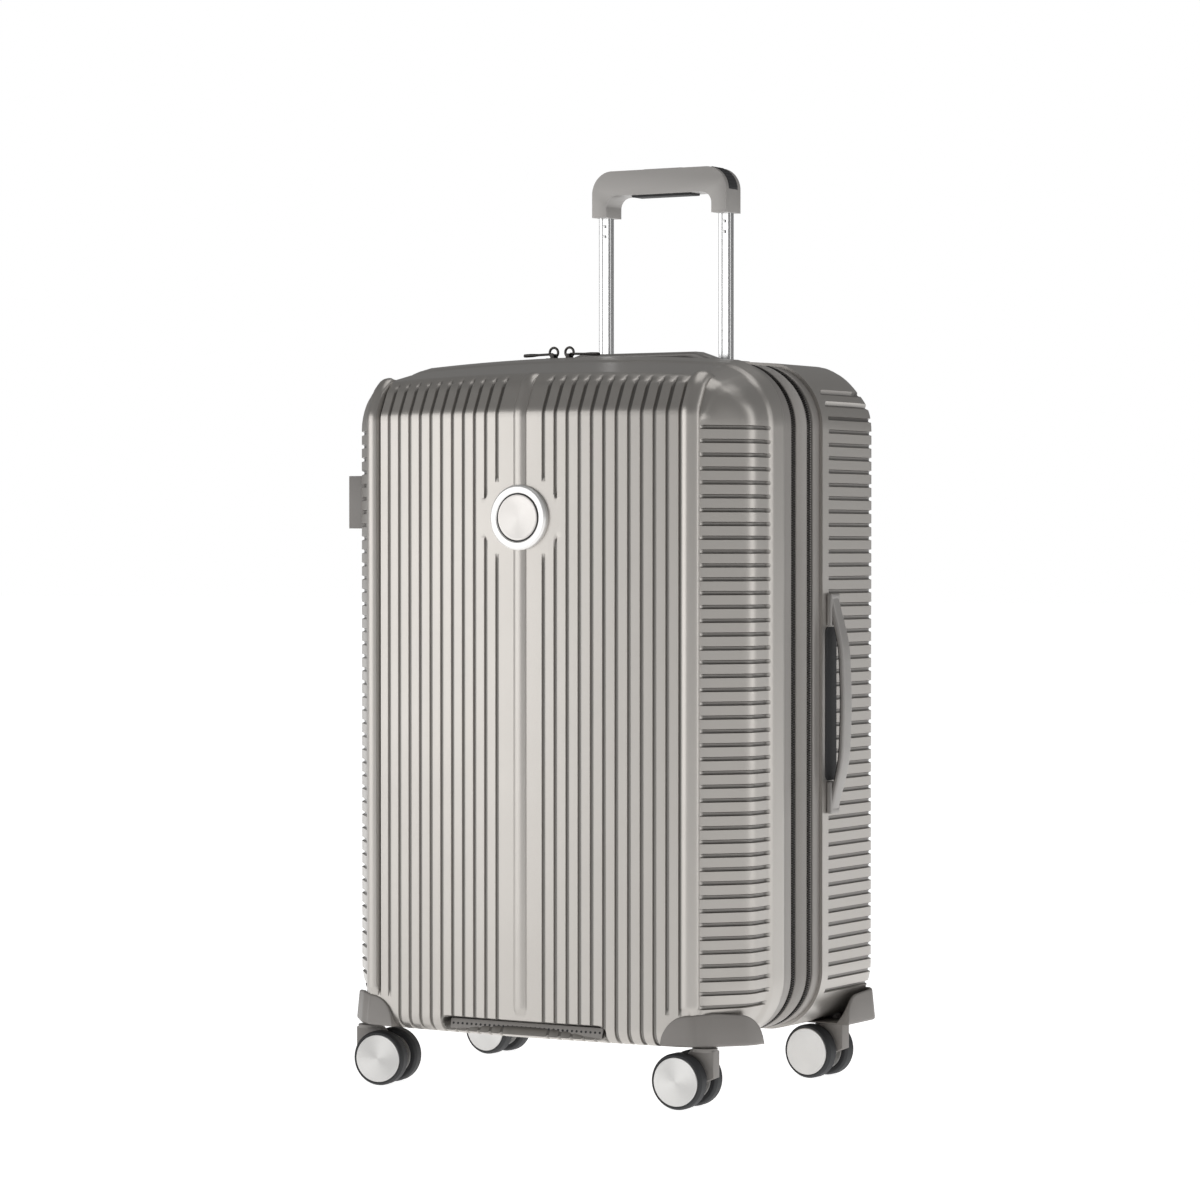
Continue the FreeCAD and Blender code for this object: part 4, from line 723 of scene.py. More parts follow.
@dataclass
class Shell:
    """One pressed half of the case.

    A face panel of columns and rows is carried over its top, bottom and side edges to the rim, and a
    fan fills each of the four corners. Depth is measured from the rim plane towards the face.
    """

    outline: Outline
    rim: float = 0.0
    way: int = -1
    depth_mid: float = 100.0
    depth_side: float = 100.0
    depth_foot: float = 100.0
    bead_x: float = 171.0
    edge: float = 179.0
    low_row: float = 84.0
    high_row: float = 629.4
    steps: int = 36
    wall: float = 3.0
    lip: float = 14.0
    fan: int = 16
    groove_top: float = 625.3
    groove_pitch: float = 12.42
    groove_count: int = 44
    groove_deep: float = 2.4
    upright_first: float = 25.0
    upright_pitch: float = 12.5
    upright_last: int = 11
    upright_deep: float = 2.1

    def top_section(self) -> np.ndarray:
        """Returns (rise, depth) from the face panel over the top edge to the rim, as shares."""
        raise NotImplementedError

    def bottom_section(self) -> np.ndarray:
        """Returns (fall, depth) from the face panel under the bottom edge to the rim, as shares."""
        raise NotImplementedError

    def side_section(self) -> np.ndarray:
        """Returns (reach, depth) from the face panel round the upright corner to the rim, as shares."""
        raise NotImplementedError

    def columns(self) -> np.ndarray:
        """Returns the X of the face panel's columns, for the right half and the middle."""
        raise NotImplementedError

    def rise(self, zone: Zone, x: np.ndarray, z: np.ndarray, depth: np.ndarray) -> np.ndarray:
        """Returns how far each point stands out of the plain skin."""
        raise NotImplementedError

    def holes(self, x: np.ndarray, depth: np.ndarray) -> np.ndarray:
        """Returns where the top is open."""
        return np.zeros(np.broadcast(x, depth).shape, bool)

    def rows(self) -> np.ndarray:
        """Returns the heights of the face panel's rows: five over each level groove and one between."""
        middle = self.groove_top - self.groove_pitch * np.arange(self.groove_count)
        over = np.array([*GROOVE_STEPS, self.groove_pitch / 2])
        rows = (middle[:, None] + over).ravel()
        rows = rows[(rows > self.low_row + 0.5) & (rows < self.high_row - 0.5)]
        return np.sort(np.concatenate([rows, [self.low_row, self.high_row]]))

    def face_depth(self, x: np.ndarray) -> np.ndarray:
        """Returns the face's depth: a bow as far as the bead, then an S curve down to the corner's foot."""
        x = np.abs(x)
        share = np.minimum(x, self.bead_x) / self.bead_x
        bow = self.depth_mid - (self.depth_mid - self.depth_side) * share ** 2
        return bow - (self.depth_side - self.depth_foot) * smooth(x, self.bead_x, self.edge)

    def spot(self, x: np.ndarray, z: np.ndarray, depth: np.ndarray) -> np.ndarray:
        """Returns points from X, height and depth."""
        return np.stack(np.broadcast_arrays(x, self.rim + self.way * depth, z), -1)

    def add(self, skin: Skin, zone: Zone, x: np.ndarray, z: np.ndarray, depth: np.ndarray) -> None:
        """Adds one zone to the skin. Where its last column is the rim, the rim is turned in by a lip."""
        x, z, depth = (np.array(a, float) for a in np.broadcast_arrays(x, z, depth))
        rise = self.rise(zone, x, z, depth)
        drop = None
        if zone is not Zone.PANEL:
            hand = np.stack([np.sign(x[:, -1] + 1e-9), np.ones(len(x))], -1)
            out = self.outline.normal(np.abs(x[:, -1]), z[:, -1]) * hand
            inner = np.stack([x[:, -1], z[:, -1]], -1) - out * self.wall
            x = np.column_stack([x, inner[:, 0], inner[:, 0]])
            z = np.column_stack([z, inner[:, 1], inner[:, 1]])
            depth = np.column_stack([depth, np.zeros(len(x)), np.full(len(x), self.lip)])
            rise = np.column_stack([rise, np.zeros((len(x), 2))])
        if zone is Zone.TOP:
            middle = [(a[:-1, :-1] + a[1:, 1:]) / 2 for a in (x, depth)]
            drop = self.holes(*middle)
            drop[:, -2:] = False
        skin.grid(self.spot(x, z, depth), rise=rise, drop=drop)

    def skin(self) -> Skin:
        """Returns the whole skin of the shell."""
        skin = Skin()
        right = self.columns()
        x = np.concatenate([-right[:0:-1], right])
        face = self.face_depth(x)
        rows = self.rows()
        self.add(skin, Zone.PANEL, x[:, None], rows[None], face[:, None] + 0 * rows[None])
        top, bottom, side = self.top_section(), self.bottom_section(), self.side_section()
        self.add(skin, Zone.TOP, x[:, None],
                 self.high_row + top[:, 0] * (self.outline.top_at(x) - self.high_row)[:, None],
                 top[:, 1] * face[:, None])
        self.add(skin, Zone.BOTTOM, x[:, None],
                 self.low_row - bottom[:, 0] * (self.low_row - self.outline.bottom_at(x))[:, None],
                 bottom[:, 1] * face[:, None])
        reach = self.outline.side_at(rows) - self.edge
        high = self._arc(self.outline.middle, self.outline.radius,
                         (self.edge, float(self.outline.top_at(np.array(self.edge)))),
                         (float(self.outline.side_at(np.array(self.high_row))), self.high_row))
        low_middle = np.array([self.outline.half_width - self.outline.corner,
                               self.outline.bottom + self.outline.corner])
        low = self._arc(low_middle, self.outline.corner,
                        (self.edge, float(self.outline.bottom_at(np.array(self.edge)))),
                        (float(self.outline.side_at(np.array(self.low_row))), self.low_row))
        for hand in SIDES:
            self.add(skin, Zone.SIDE, hand * (self.edge + side[:, 0] * reach[:, None]), rows[:, None],
                     side[:, 1] * self.depth_foot)
            for zone, line, arc, row in ((Zone.SHOULDER, top, high, self.high_row),
                                         (Zone.FOOT, bottom, low, self.low_row)):
                turn = smooth(np.linspace(0, 1, self.fan + 1), 0, 1)[:, None]
                share = (1 - turn) * line[:, 0] + turn * side[:, 0]
                depth = ((1 - turn) * line[:, 1] + turn * side[:, 1]) * self.depth_foot
                self.add(skin, zone, hand * (self.edge + share * (arc[:, :1] - self.edge)),
                         row + share * (arc[:, 1:] - row), depth)
        return skin

    def _arc(self, middle: np.ndarray, radius: float, start: tuple[float, float],
             end: tuple[float, float]) -> np.ndarray:
        """Returns the fan's points along a circle from start to end, in X and Z."""
        first, last = (math.atan2(p[1] - middle[1], p[0] - middle[0]) for p in (start, end))
        turn = np.linspace(first, last, self.fan + 1)
        arc = middle + radius * np.stack([np.cos(turn), np.sin(turn)], -1)
        arc[0], arc[-1] = start, end
        return arc

    def level_grooves(self, z: np.ndarray, ends: np.ndarray, extra: int = 2) -> np.ndarray:
        """Returns the sink of the level grooves, a rounded channel with rounded ends.

        Args:
            z: heights.
            ends: how far each point lies past the ends of the grooves.
            extra: how many more grooves there are above the first.
        """
        count = np.clip(np.round((self.groove_top - z) / self.groove_pitch), -extra, self.groove_count - 1)
        away = np.hypot(z - (self.groove_top - count * self.groove_pitch), ends)
        return -self.groove_deep * (1 - smooth(away, 1.0, 2.0))

    def upright_grooves(self, x: np.ndarray, ends: np.ndarray, first: int = 0) -> np.ndarray:
        """Returns the sink of the upright grooves, counted outwards from the first."""
        past = np.abs(x) - self.upright_first
        count = np.clip(np.round(past / self.upright_pitch), first, self.upright_last)
        away = np.hypot(past - count * self.upright_pitch, ends)
        return -self.upright_deep * (1 - smooth(away, 0.9, 1.9))

    def groove_columns(self, first: int = 0) -> np.ndarray:
        """Returns the X of the columns that the upright grooves need, five over each and one between."""
        middle = self.upright_first + self.upright_pitch * np.arange(first, self.upright_last + 1)
        return (middle[:, None] + np.array([*GROOVE_STEPS, self.upright_pitch / 2])).ravel()


@dataclass
class FrontShell(Shell):
    """The lid's shell: bowed face, centre rib, corner beads, sloped top, grab recess."""

    rim: float = -38.0
    depth_mid: float = 112.8
    depth_side: float = 100.4
    depth_foot: float = 95.0
    high_row: float = 619.1
    knee: float = 629.4
    bevel_top: float = 655.5
    bevel_back: float = 13.0
    roll_top: float = 665.0
    roll_depth: float = 89.0
    flat_start: tuple[float, float] = (6.0, 92.0)
    flat_end: float = 58.0
    low_edge: float = 16.0
    bead_half: float = 8.0
    bead_proud: float = 4.2
    bead_low: float = 92.5
    rib_half: float = 6.75
    rib_proud: float = 2.6
    rib_low: float = 83.0
    badge_z: float = 532.3
    badge_keep: float = 43.5
    border: float = 25.0
    border_proud: float = 1.1
    recess_half: float = 88.0
    recess_mid: float = 63.6
    recess_tall: float = 6.6
    recess_deep: float = 13.0
    recess_back: float = 60.0
    panel_sink: float = 0.9
    panel_arch: float = 1.0
    arch_slope: float = 0.22
    hood: tuple[float, float] = (657.0, 661.0)
    short_count: float = 9.5
    short_low: float = 88.0

    def top_section(self) -> np.ndarray:
        """Rises along the bevel, rolls over and slopes gently up to the rim."""
        total = self.outline.top - self.high_row
        line = rounded([(0, self.depth_mid), (self.knee - self.high_row, self.depth_mid),
                        (self.bevel_top - self.high_row, self.depth_mid - self.bevel_back),
                        (self.roll_top - self.high_row, self.roll_depth), (total, 0)], [0, 10, 14, 12, 0], 8)
        return resampled(line, self.steps + 1) / np.array([total, self.depth_mid])

    def bottom_section(self) -> np.ndarray:
        """Falls, turns under by the low edge's radius and runs level to the rim, finer at the turn."""
        total = self.low_row - self.outline.bottom
        line = rounded([(0, self.depth_mid), (total, self.depth_mid), (total, 0)], [0, self.low_edge, 0], 24)
        run = lengths(line)
        fine = 42.0
        marks = np.concatenate([np.linspace(0, fine, 27), np.linspace(fine, run[-1], self.steps - 25)[1:]])
        return np.stack([np.interp(marks, run, a) for a in line.T], -1) / np.array([total, self.depth_mid])

    def side_section(self) -> np.ndarray:
        """Runs back along the corner's flat and then straight to the rim."""
        reach = self.outline.half_width - self.edge
        line = rounded([(0, self.depth_foot), self.flat_start, (reach, self.flat_end), (reach, 0)],
                       [0, 18, 30, 0], 12)
        return resampled(line, self.steps + 1) / np.array([reach, self.depth_foot])

    def columns(self) -> np.ndarray:
        """Gives the rib, the grooves and the bead their own columns."""
        rib = self.rib_half * np.sin(np.linspace(0, math.pi / 2, 7))
        bead = self.bead_x + self.bead_half * np.sin(np.linspace(-math.pi / 2, math.pi / 2, 15))
        lines = np.concatenate([rib, [12.0, 18.0], self.groove_columns()[:-1], bead])
        lines[-1] = self.edge
        return np.unique(np.round(lines, 4))

    def rise(self, zone: Zone, x: np.ndarray, z: np.ndarray, depth: np.ndarray) -> np.ndarray:
        """Adds grooves, rib, beads, the raised border along the rim and the grab recess."""
        out = self.border_proud * (1 - smooth(depth, self.border - 1.5, self.border + 1.5))
        out = out * smooth(depth, 0, 1.5)
        if zone in (Zone.SIDE, Zone.SHOULDER, Zone.FOOT):
            reach = np.abs(x) - self.edge
            arch = self.panel_arch + self.arch_slope * np.maximum(0, z - self.high_row)
            inside = smooth(reach - arch, 0, 4) * smooth(depth, self.border + 1, self.border + 4)
            inside = inside * (1 - smooth(z, *self.hood))
            ends = np.maximum(outside(depth, self.border + 4.5, 1e3), np.maximum(0, arch + 1.2 - reach))
            if zone is not Zone.SIDE:
                return out - self.panel_sink * inside
            return out - self.panel_sink * inside + self.level_grooves(z, ends, 0)
        round_badge = np.maximum(0, self.badge_keep - np.hypot(x, z - self.badge_z))
        short = np.abs(x) > self.upright_first + self.short_count * self.upright_pitch
        share = depth * self.depth_mid / self.face_depth(x)
        if zone is Zone.BOTTOM:
            share = share + self.roll_depth
        ends = np.maximum(round_badge, np.maximum(0, self.roll_depth + 8 - share))
        ends = np.maximum(ends, np.where(short, np.maximum(0, self.short_low - z), 0))
        out = out + self.upright_grooves(x, ends)
        past_bead = np.maximum(outside(z, self.bead_low, 1e3), np.maximum(0, self.roll_depth - 4 - share))
        bead = np.hypot(np.abs(x) - self.bead_x, past_bead)
        out = out + self.bead_proud * dome(bead / self.bead_half)
        past_rib = np.maximum(outside(z, self.rib_low, 1e3), np.maximum(0, self.roll_depth + 5 - share))
        rib = np.hypot(x, past_rib)
        out = out + self.rib_proud * dome(rib / self.rib_half)
        if zone is Zone.BOTTOM:
            straight = self.recess_half - self.recess_tall
            away = np.hypot(outside(x, -straight, straight), z - self.recess_mid)
            sunk = (1 - smooth(away, self.recess_tall - 1.6, self.recess_tall)) * (depth > self.recess_back)
            out = out - self.recess_deep * sunk
        return out

    def build(self) -> None:
        """Makes the lid's shell."""
        self.skin().piece("lid_shell_skin", "lid", "shell", "front_shell")


@dataclass
class RearShell(Shell):
    """The body's shell: flat back, rounded top edge, openings for the tray and the pan."""

    rim: float = 37.0
    way: int = 1
    depth_mid: float = 111.0
    depth_side: float = 111.0
    depth_foot: float = 111.0
    bead_x: float = 171.0
    edge: float = 184.0
    back_edge: float = 30.0
    low_edge: float = 16.0
    first_upright: int = 6
    edge_clear: float = 14.0
    side_groove_front: float = 15.0
    back_grooves: tuple[float, float] = (110.0, 640.0)
    back_groove_depth: float = 100.0
    plain_half: float = 94.0
    steps: int = 44

    def top_section(self) -> np.ndarray:
        """Rises, rounds the top edge and runs level to the rim."""
        total = self.outline.top - self.high_row
        corners = [(0, self.depth_mid), (total, self.depth_mid), (total, 0)]
        line = rounded(corners, [0, self.back_edge, 0], 16)
        return resampled(line, self.steps + 1) / np.array([total, self.depth_mid])

    def bottom_section(self) -> np.ndarray:
        """Falls, rounds the low edge and runs level to the rim."""
        total = self.low_row - self.outline.bottom
        line = rounded([(0, self.depth_mid), (total, self.depth_mid), (total, 0)], [0, self.low_edge, 0], 12)
        return resampled(line, self.steps + 1) / np.array([total, self.depth_mid])

    def side_section(self) -> np.ndarray:
        """Rounds the upright corner and runs straight to the rim."""
        reach = self.outline.half_width - self.edge
        line = rounded([(0, self.depth_mid), (reach, self.depth_mid), (reach, 0)], [0, reach, 0], 20)
        return resampled(line, self.steps + 1) / np.array([reach, self.depth_mid])

    def columns(self) -> np.ndarray:
        """Gives the grooves and the two openings their own columns."""
        tray, pan = box_mm("handle_tray")[1][0], box_mm("top_handle_pan")[1][0]
        lines = np.concatenate([np.linspace(0, 72, 8), [tray - 1.5, pan - 1.5, 93],
                                self.groove_columns(self.first_upright)[:-1], [172, 178, self.edge]])
        return np.unique(np.round(lines, 4))

    def holes(self, x: np.ndarray, depth: np.ndarray) -> np.ndarray:
        """Opens the top over the tray and over the pan."""
        y = self.rim + depth
        open_here = np.zeros(x.shape, bool)
        for node in ("handle_tray", "top_handle_pan"):
            low, high = box_mm(node)
            open_here |= (np.abs(x) < high[0] - 1.5) & (y > low[1] + 1.2) & (y < high[1] - 1.2)
        return open_here

    def rise(self, zone: Zone, x: np.ndarray, z: np.ndarray, depth: np.ndarray) -> np.ndarray:
        """Adds the level grooves round the sides and a few upright ones on the back."""
        if zone in (Zone.SIDE, Zone.SHOULDER):
            start = 2.0 if zone is Zone.SIDE else self.edge_clear
            near_rim = outside(depth, self.side_groove_front, 1e3)
            ends = np.maximum(near_rim, np.maximum(0, start - np.abs(x) + self.edge))
            return self.level_grooves(z, ends)
        if zone is Zone.FOOT:
            return 0 * x
        ends = np.maximum(outside(z, *self.back_grooves), np.maximum(0, self.back_groove_depth - depth))
        return self.upright_grooves(x, ends, self.first_upright) * (np.abs(x) > self.plain_half)

    def build(self) -> None:
        """Makes the body's shell."""
        self.skin().piece("body_shell_skin", "root", "shell", "rear_shell")


# ---------------------------------------------------------------- rims, zips and gusset

@dataclass
class SoftJoint:
    """What runs round the case between the shells: rims, zip tapes, chains, gusset band and pleat."""

    outline: Outline
    rim_inset: float = 3.2
    rim_thick: float = 3.4
    tape_inset: float = 5.0
    tape_thick: float = 1.4
    tooth_pitch: float = 2.3
    tooth_wide: float = 1.5
    tooth_long: float = 2.6
    tooth_tall: float = 1.7

    def band(self, name: str, body: str, slot: str, front: float, back: float, inset: float,
             thick: float, radius: float, nodes: Sequence[str] = (), bulge: float = 0.0) -> bpy.types.Object:
        """Makes one band: a rounded strip from front to back, its outer face bulged by a low arch."""
        profile = rounded_box(back - front, thick, radius, 5)
        share = 2 * profile[:, 0] / (back - front)
        lift = bulge * (1 - share ** 2) * (profile[:, 1] > 0)
        profile = profile + np.array([(front + back) / 2, -inset - thick / 2])
        profile[:, 1] += lift
        points, spots = self.outline.hoop(profile)
        return Skin().grid(points, spots).piece(name, body, slot, *nodes)

    def teeth(self, name: str, body: str, y: float, side: int) -> bpy.types.Object:
        """Makes one half of a zip chain: small tapered teeth, evenly spaced, that lean over the parting.

        Args:
            name: the piece's name.
            body: its body.
            y: the parting plane.
            side: -1 for the teeth in front of it, 1 for those behind.

        Returns:
            The piece.
        """
        points, out, run = self.outline.loop(2400)
        marks = np.arange(0, run[-1], self.tooth_pitch) + (0.5 * self.tooth_pitch if side > 0 else 0)
        marks = marks[marks < run[-1]]
        place = np.stack([np.interp(marks, run, a) for a in points.T], -1)
        away = np.stack([np.interp(marks, run, a) for a in out.T], -1)
        away /= np.linalg.norm(away, axis=1)[:, None]
        height = -self.tape_inset + 0.4
        spot = np.stack([place[:, 0] + away[:, 0] * height, np.full(len(marks), y + side * 0.25),
                         place[:, 1] + away[:, 1] * height], -1)
        flat = np.zeros(len(marks))
        along = np.stack([-away[:, 1], flat, away[:, 0]], -1)
        across = np.stack([flat, np.full(len(marks), float(side)), flat], -1)
        normal = np.stack([away[:, 0], flat, away[:, 1]], -1)
        a, b, c = self.tooth_wide / 2, self.tooth_long, self.tooth_tall
        shape = np.array([(-a, 0, 0), (a, 0, 0), (a * 0.8, 0.3, c), (-a * 0.8, 0.3, c),
                          (-a * 0.7, b, 0), (a * 0.7, b, 0), (a * 0.5, b, c * 0.7), (-a * 0.5, b, c * 0.7)])
        axes = np.stack([along, across, normal], 1)
        return Skin().blocks(spot, axes, shape).piece(name, body, "gunmetal", weld=0.001, hard=True)

    def build(self) -> None:
        """Makes every ring between the shells, from the front to the back."""
        parting = (box_mm("main_zip_front")[1][1] + box_mm("main_zip_rear")[0][1]) / 2
        expansion = (box_mm("expansion_zip_front")[1][1] + box_mm("expansion_zip_rear")[0][1]) / 2
        self.band("lid_rim_welt", "lid", "rim", -46, -18.2, self.rim_inset, self.rim_thick, 1.6,
                  ("lid_rim",), 0.9)
        self.band("main_zip_tape_front", "lid", "zip_tape", -18.0, parting - 0.3, self.tape_inset,
                  self.tape_thick, 0.5, ("main_zip_front",))
        self.band("main_zip_tape_rear", "expander", "zip_tape", parting + 0.3, -7.7, self.tape_inset,
                  self.tape_thick, 0.5, ("main_zip_rear",))
        self.band("gusset_cloth_band", "expander", "gusset_fabric", -9.2, 11.6, self.rim_inset + 0.2,
                  2.2, 1.0, ("gusset_band",), 1.2)
        self.band("expansion_zip_tape_front", "expander", "zip_tape", 11.8, expansion - 0.3, self.tape_inset,
                  self.tape_thick, 0.5, ("expansion_zip_front",))
        self.band("expansion_zip_tape_rear", "root", "zip_tape", expansion + 0.3, 23.8, self.tape_inset,
                  self.tape_thick, 0.5, ("expansion_zip_rear",))
        self.band("body_rim_welt", "root", "rim", 24.2, 44.8, self.rim_inset, self.rim_thick, 1.6,
                  ("rear_rim",), 0.6)
        self.teeth("main_chain_front", "lid", parting, -1)
        self.teeth("main_chain_rear", "expander", parting, 1)
        self.teeth("expansion_chain_front", "expander", expansion, -1)
        self.teeth("expansion_chain_rear", "root", expansion, 1)
        self.pleat()

    def pleat(self) -> None:
        """Makes the folded gusset inside the expansion zip. The real gusset opens out as the case grows;
        this one is a fixed shape on no body.
        """
        low, high = box_mm("gusset_pleat")
        front, back = low[1] + 0.5, high[1] - 0.5
        outer = rounded([(front, -7.9), ((front + back) / 2, -13.2), (back, -7.9)], [0, 2.5, 0], 6)
        line = np.concatenate([outer, (outer - np.array([0, 0.8]))[::-1]])
        line = np.concatenate([line, line[:1]])
        points, spots = self.outline.hoop(line)
        skin = Skin().grid(points, spots)
        cloth = skin.piece("gusset_pleat_cloth", "root", "gusset_fabric", "gusset_pleat")
        cloth.parent = None
        del cloth["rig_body"]
        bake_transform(cloth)


# ---------------------------------------------------------------- fittings

@dataclass
class Medallion:
    """The plain round badge on the centre rib: a satin ring, a dark gasket and a spun disc."""

    ring_in: float = 22.4
    disc: float = 21.1
    back: float = -3.0

    def build(self) -> None:
        """Turns the three pieces about an axis that looks out of the front face."""
        low, high = box_mm("medallion_ring")
        centre = np.array([0, high[1], (low[2] + high[2]) / 2])
        proud = high[1] - low[1]
        out = high[0]
        ring = rounded([(out, self.back), (out, 0.7), (out - 1.8, proud), (self.ring_in + 1.0, proud),
                        (self.ring_in, proud - 0.7), (self.ring_in, self.back)], [0, 1.2, 1.5, 0.5, 0.5, 0])
        gap_out, gap_in = self.ring_in + 0.2, self.disc - 0.2
        gasket = np.array([(gap_out, self.back), (gap_out, 0.9), (gap_in, 0.9), (gap_in, self.back)])
        disc = rounded([(self.disc, self.back), (self.disc, 1.9), (self.disc - 1.6, 2.0), (0, 1.2)],
                       [0, 0.4, 2.0, 0])
        for name, line, slot, nodes in (
                ("medallion_ring_turned", ring, "satin_metal", ("medallion_ring",)),
                ("medallion_gasket", gasket, "soft_pad", ()),
                ("medallion_disc_spun", disc, "spun_metal", ("medallion_disc",))):
            points, spots = lathed(line, centre, np.array([0, -1.0, 0]), 96)
            Skin().grid(points, spots).piece(name, "lid", slot, *nodes)


@dataclass
class GrabScoop:
    """The pressed strip inside the grab recess, with its row of holes."""

    half: float = 82.0
    tall: float = 9.6
    thick: float = 2.0
    middle: tuple[float, float] = (-139.5, 63.2)
    lean: float = 14.0
    hole_count: int = 33
    hole_radius: float = 1.15

    def build(self) -> None:
        """Sweeps the strip from left to right, and sets a dark disc at each hole as painted shade, in place
        of an open hole.
        """
        y, z = self.middle
        up = np.array([0, math.sin(math.radians(self.lean)), math.cos(math.radians(self.lean))])
        out = np.array([0, -up[2], up[1]])
        path = np.array([(x, y, z) for x in np.linspace(-self.half, self.half, 5)])
        profile = rounded_box(self.thick, self.tall, 0.7)
        points, spots = swept(path, profile, up)
        skin = Skin().grid(points, spots)
        skin.piece("scoop_strip", "lid", "trim", "grab_scoop")
        # Painted shade: a small dark disc at each hole stands for the shade inside it; the strip has no
        # openings.
        hole_shade_discs = Skin()
        r = self.hole_radius
        hole_shade_profile = np.array([(r, -0.2), (r, 0.16), (r * 0.5, 0.06), (0, 0.04)])
        for x in np.linspace(-self.half + 3, self.half - 3, self.hole_count):
            points, spots = lathed(hole_shade_profile, np.array([x, y, z]) + out * self.thick / 2, out, 10)
            hole_shade_discs.grid(points, spots)
        hole_shade_discs.piece("scoop_strip_holes", "lid", "soft_pad")


@dataclass
class CornerGuards:
    """The moulded guards over the four lower corners.

    The shell's own plan round the corner carries a wall that leans out to its foot. The wall's height
    falls in a quarter circle at both ends of the plan.
    """

    shells: tuple[Shell, Shell]
    inner_x: float = 144.0
    proud: float = 4.2
    lean: float = 3.0
    end_round: float = 24.0
    top_fall: float = 4.0
    count: int = 72

    def plan(self, shell: Shell, inner_y: float) -> np.ndarray:
        """Returns the shell's plan in X and Y, from the guard's inner end round the corner to inner_y."""
        x = np.linspace(self.inner_x, shell.edge, 12)
        reach = np.array([shell.outline.half_width - shell.edge, shell.depth_foot])
        side = shell.side_section() * reach + np.array([shell.edge, 0])
        line = np.concatenate([np.stack([x, shell.face_depth(x)], -1), side[1:]])
        line = line[line[:, 1] > abs(inner_y - shell.rim)]
        line[:, 1] = shell.rim + shell.way * line[:, 1]
        return resampled(line, self.count + 1)

    def wall(self, shell: Shell, node: str) -> Skin:
        """Returns both guards of one end."""
        low, high = box_mm(node)
        inner_y = low[1] if shell.way > 0 else high[1]
        line = self.plan(shell, inner_y)
        run = lengths(line)
        along = np.gradient(line, axis=0)
        along /= np.linalg.norm(along, axis=1)[:, None]
        inward = np.stack([along[:, 1], -along[:, 0]], -1)
        if inward[0, 1] * shell.way > 0:
            inward = -inward
        near = np.minimum(run, run[-1] - run)
        share = dome(1 - np.clip(near / self.end_round, 0, 1))
        tall = (high[2] - low[2] - self.top_fall) * share + self.top_fall * np.clip(2 * near / run[-1], 0, 1)
        inset = np.array([14.0, 4.0, 1.4, 0.3, 0.0, 0.0, 0.3, 1.0, 2.0, 3.0, 14.0])
        foot = np.array([0.0, 0.0, 0.2, 1.1, 2.9]) * np.minimum(1, tall / 6)[:, None]
        head = np.maximum(tall[:, None] - np.array([1.6, 0.6, 0.15, 0.0, 0.4]), 0)
        z = np.concatenate([foot, head, foot[:, 3:4]], 1)
        reach = inset - self.proud + self.lean * z / (high[2] - low[2])
        xy = line[:, None] + reach[..., None] * inward[:, None]
        grid = np.concatenate([xy, (z + low[2])[..., None]], -1)
        pole = np.array([self.inner_x + 8, inner_y + 8 * shell.way, low[2]])
        floor = np.broadcast_to(pole, (len(line), 1, 3))
        return Skin().grid(np.concatenate([floor, grid, floor + np.array([0, 0, 1.1])], axis=1)).mirrored()

    def build(self) -> None:
        """Makes the two pairs."""
        for shell, end, body in zip(self.shells, ("front", "rear"), ("lid", "root")):
            node = end + "_corner_guards"
            self.wall(shell, node).piece(node + "_moulded", body, "trim", node, crease=50)


@dataclass
class Casters:
    """The four twin wheel casters: tyres and spun hubs on rounded forks."""

    half_wide: float = 7.75
    lip: float = 22.2

    def build(self) -> None:
        """Makes every wheel that a wheel joint names, at its packed tyre's place, and rounds every fork."""
        for joint in frame["joints"]:
            if joint["name"].startswith("wheel_"):
                self.wheel(joint["child"], joint["child"].removeprefix("wheel_"))
        for node in [n for n in frame["nodes"] if n.startswith("caster_fork_")]:
            softened(node, "trim", 1.5, 3)

    def wheel(self, body: str, tag: str) -> None:
        """Makes one wheel: its outer side faces away from its twin."""
        twin = tag[:-1] + ("b" if tag.endswith("a") else "a")
        middle, other = (np.mean(box_mm("tyre_" + t), axis=0) for t in (tag, twin))
        out = (middle - other) / np.linalg.norm(middle - other)
        top = (box_mm("tyre_" + tag)[1][2] - box_mm("tyre_" + tag)[0][2]) / 2
        h = self.half_wide
        tyre = rounded([(19.6, -h + 0.3), (top - 1.6, -h), (top, -h + 3.2), (top, h - 3.2), (top - 1.6, h),
                        (self.lip + 0.4, h), (self.lip, h - 1.0), (19.6, h - 1.2)],
                       [0.5, 1.6, 2.4, 2.4, 1.6, 0.3, 0.3, 0.3], 5, closed=True)
        hub = rounded([(0, h + 0.5), (self.lip - 0.6, h + 0.4), (self.lip, h), (self.lip, h - 1.4),
                       (19.5, h - 1.6), (19.5, -h + 0.2), (0, -h + 0.2)], [0, 0.4, 0.3, 0, 0, 0.4, 0], 4)
        for name, line, slot in (("tyre", tyre, "tyre"), ("hub", hub, "wheel_disc")):
            points, spots = lathed(line, middle, out, 64)
            Skin().grid(points, spots).piece(f"{name}_{tag}_turned", body, slot, f"{name}_{tag}")


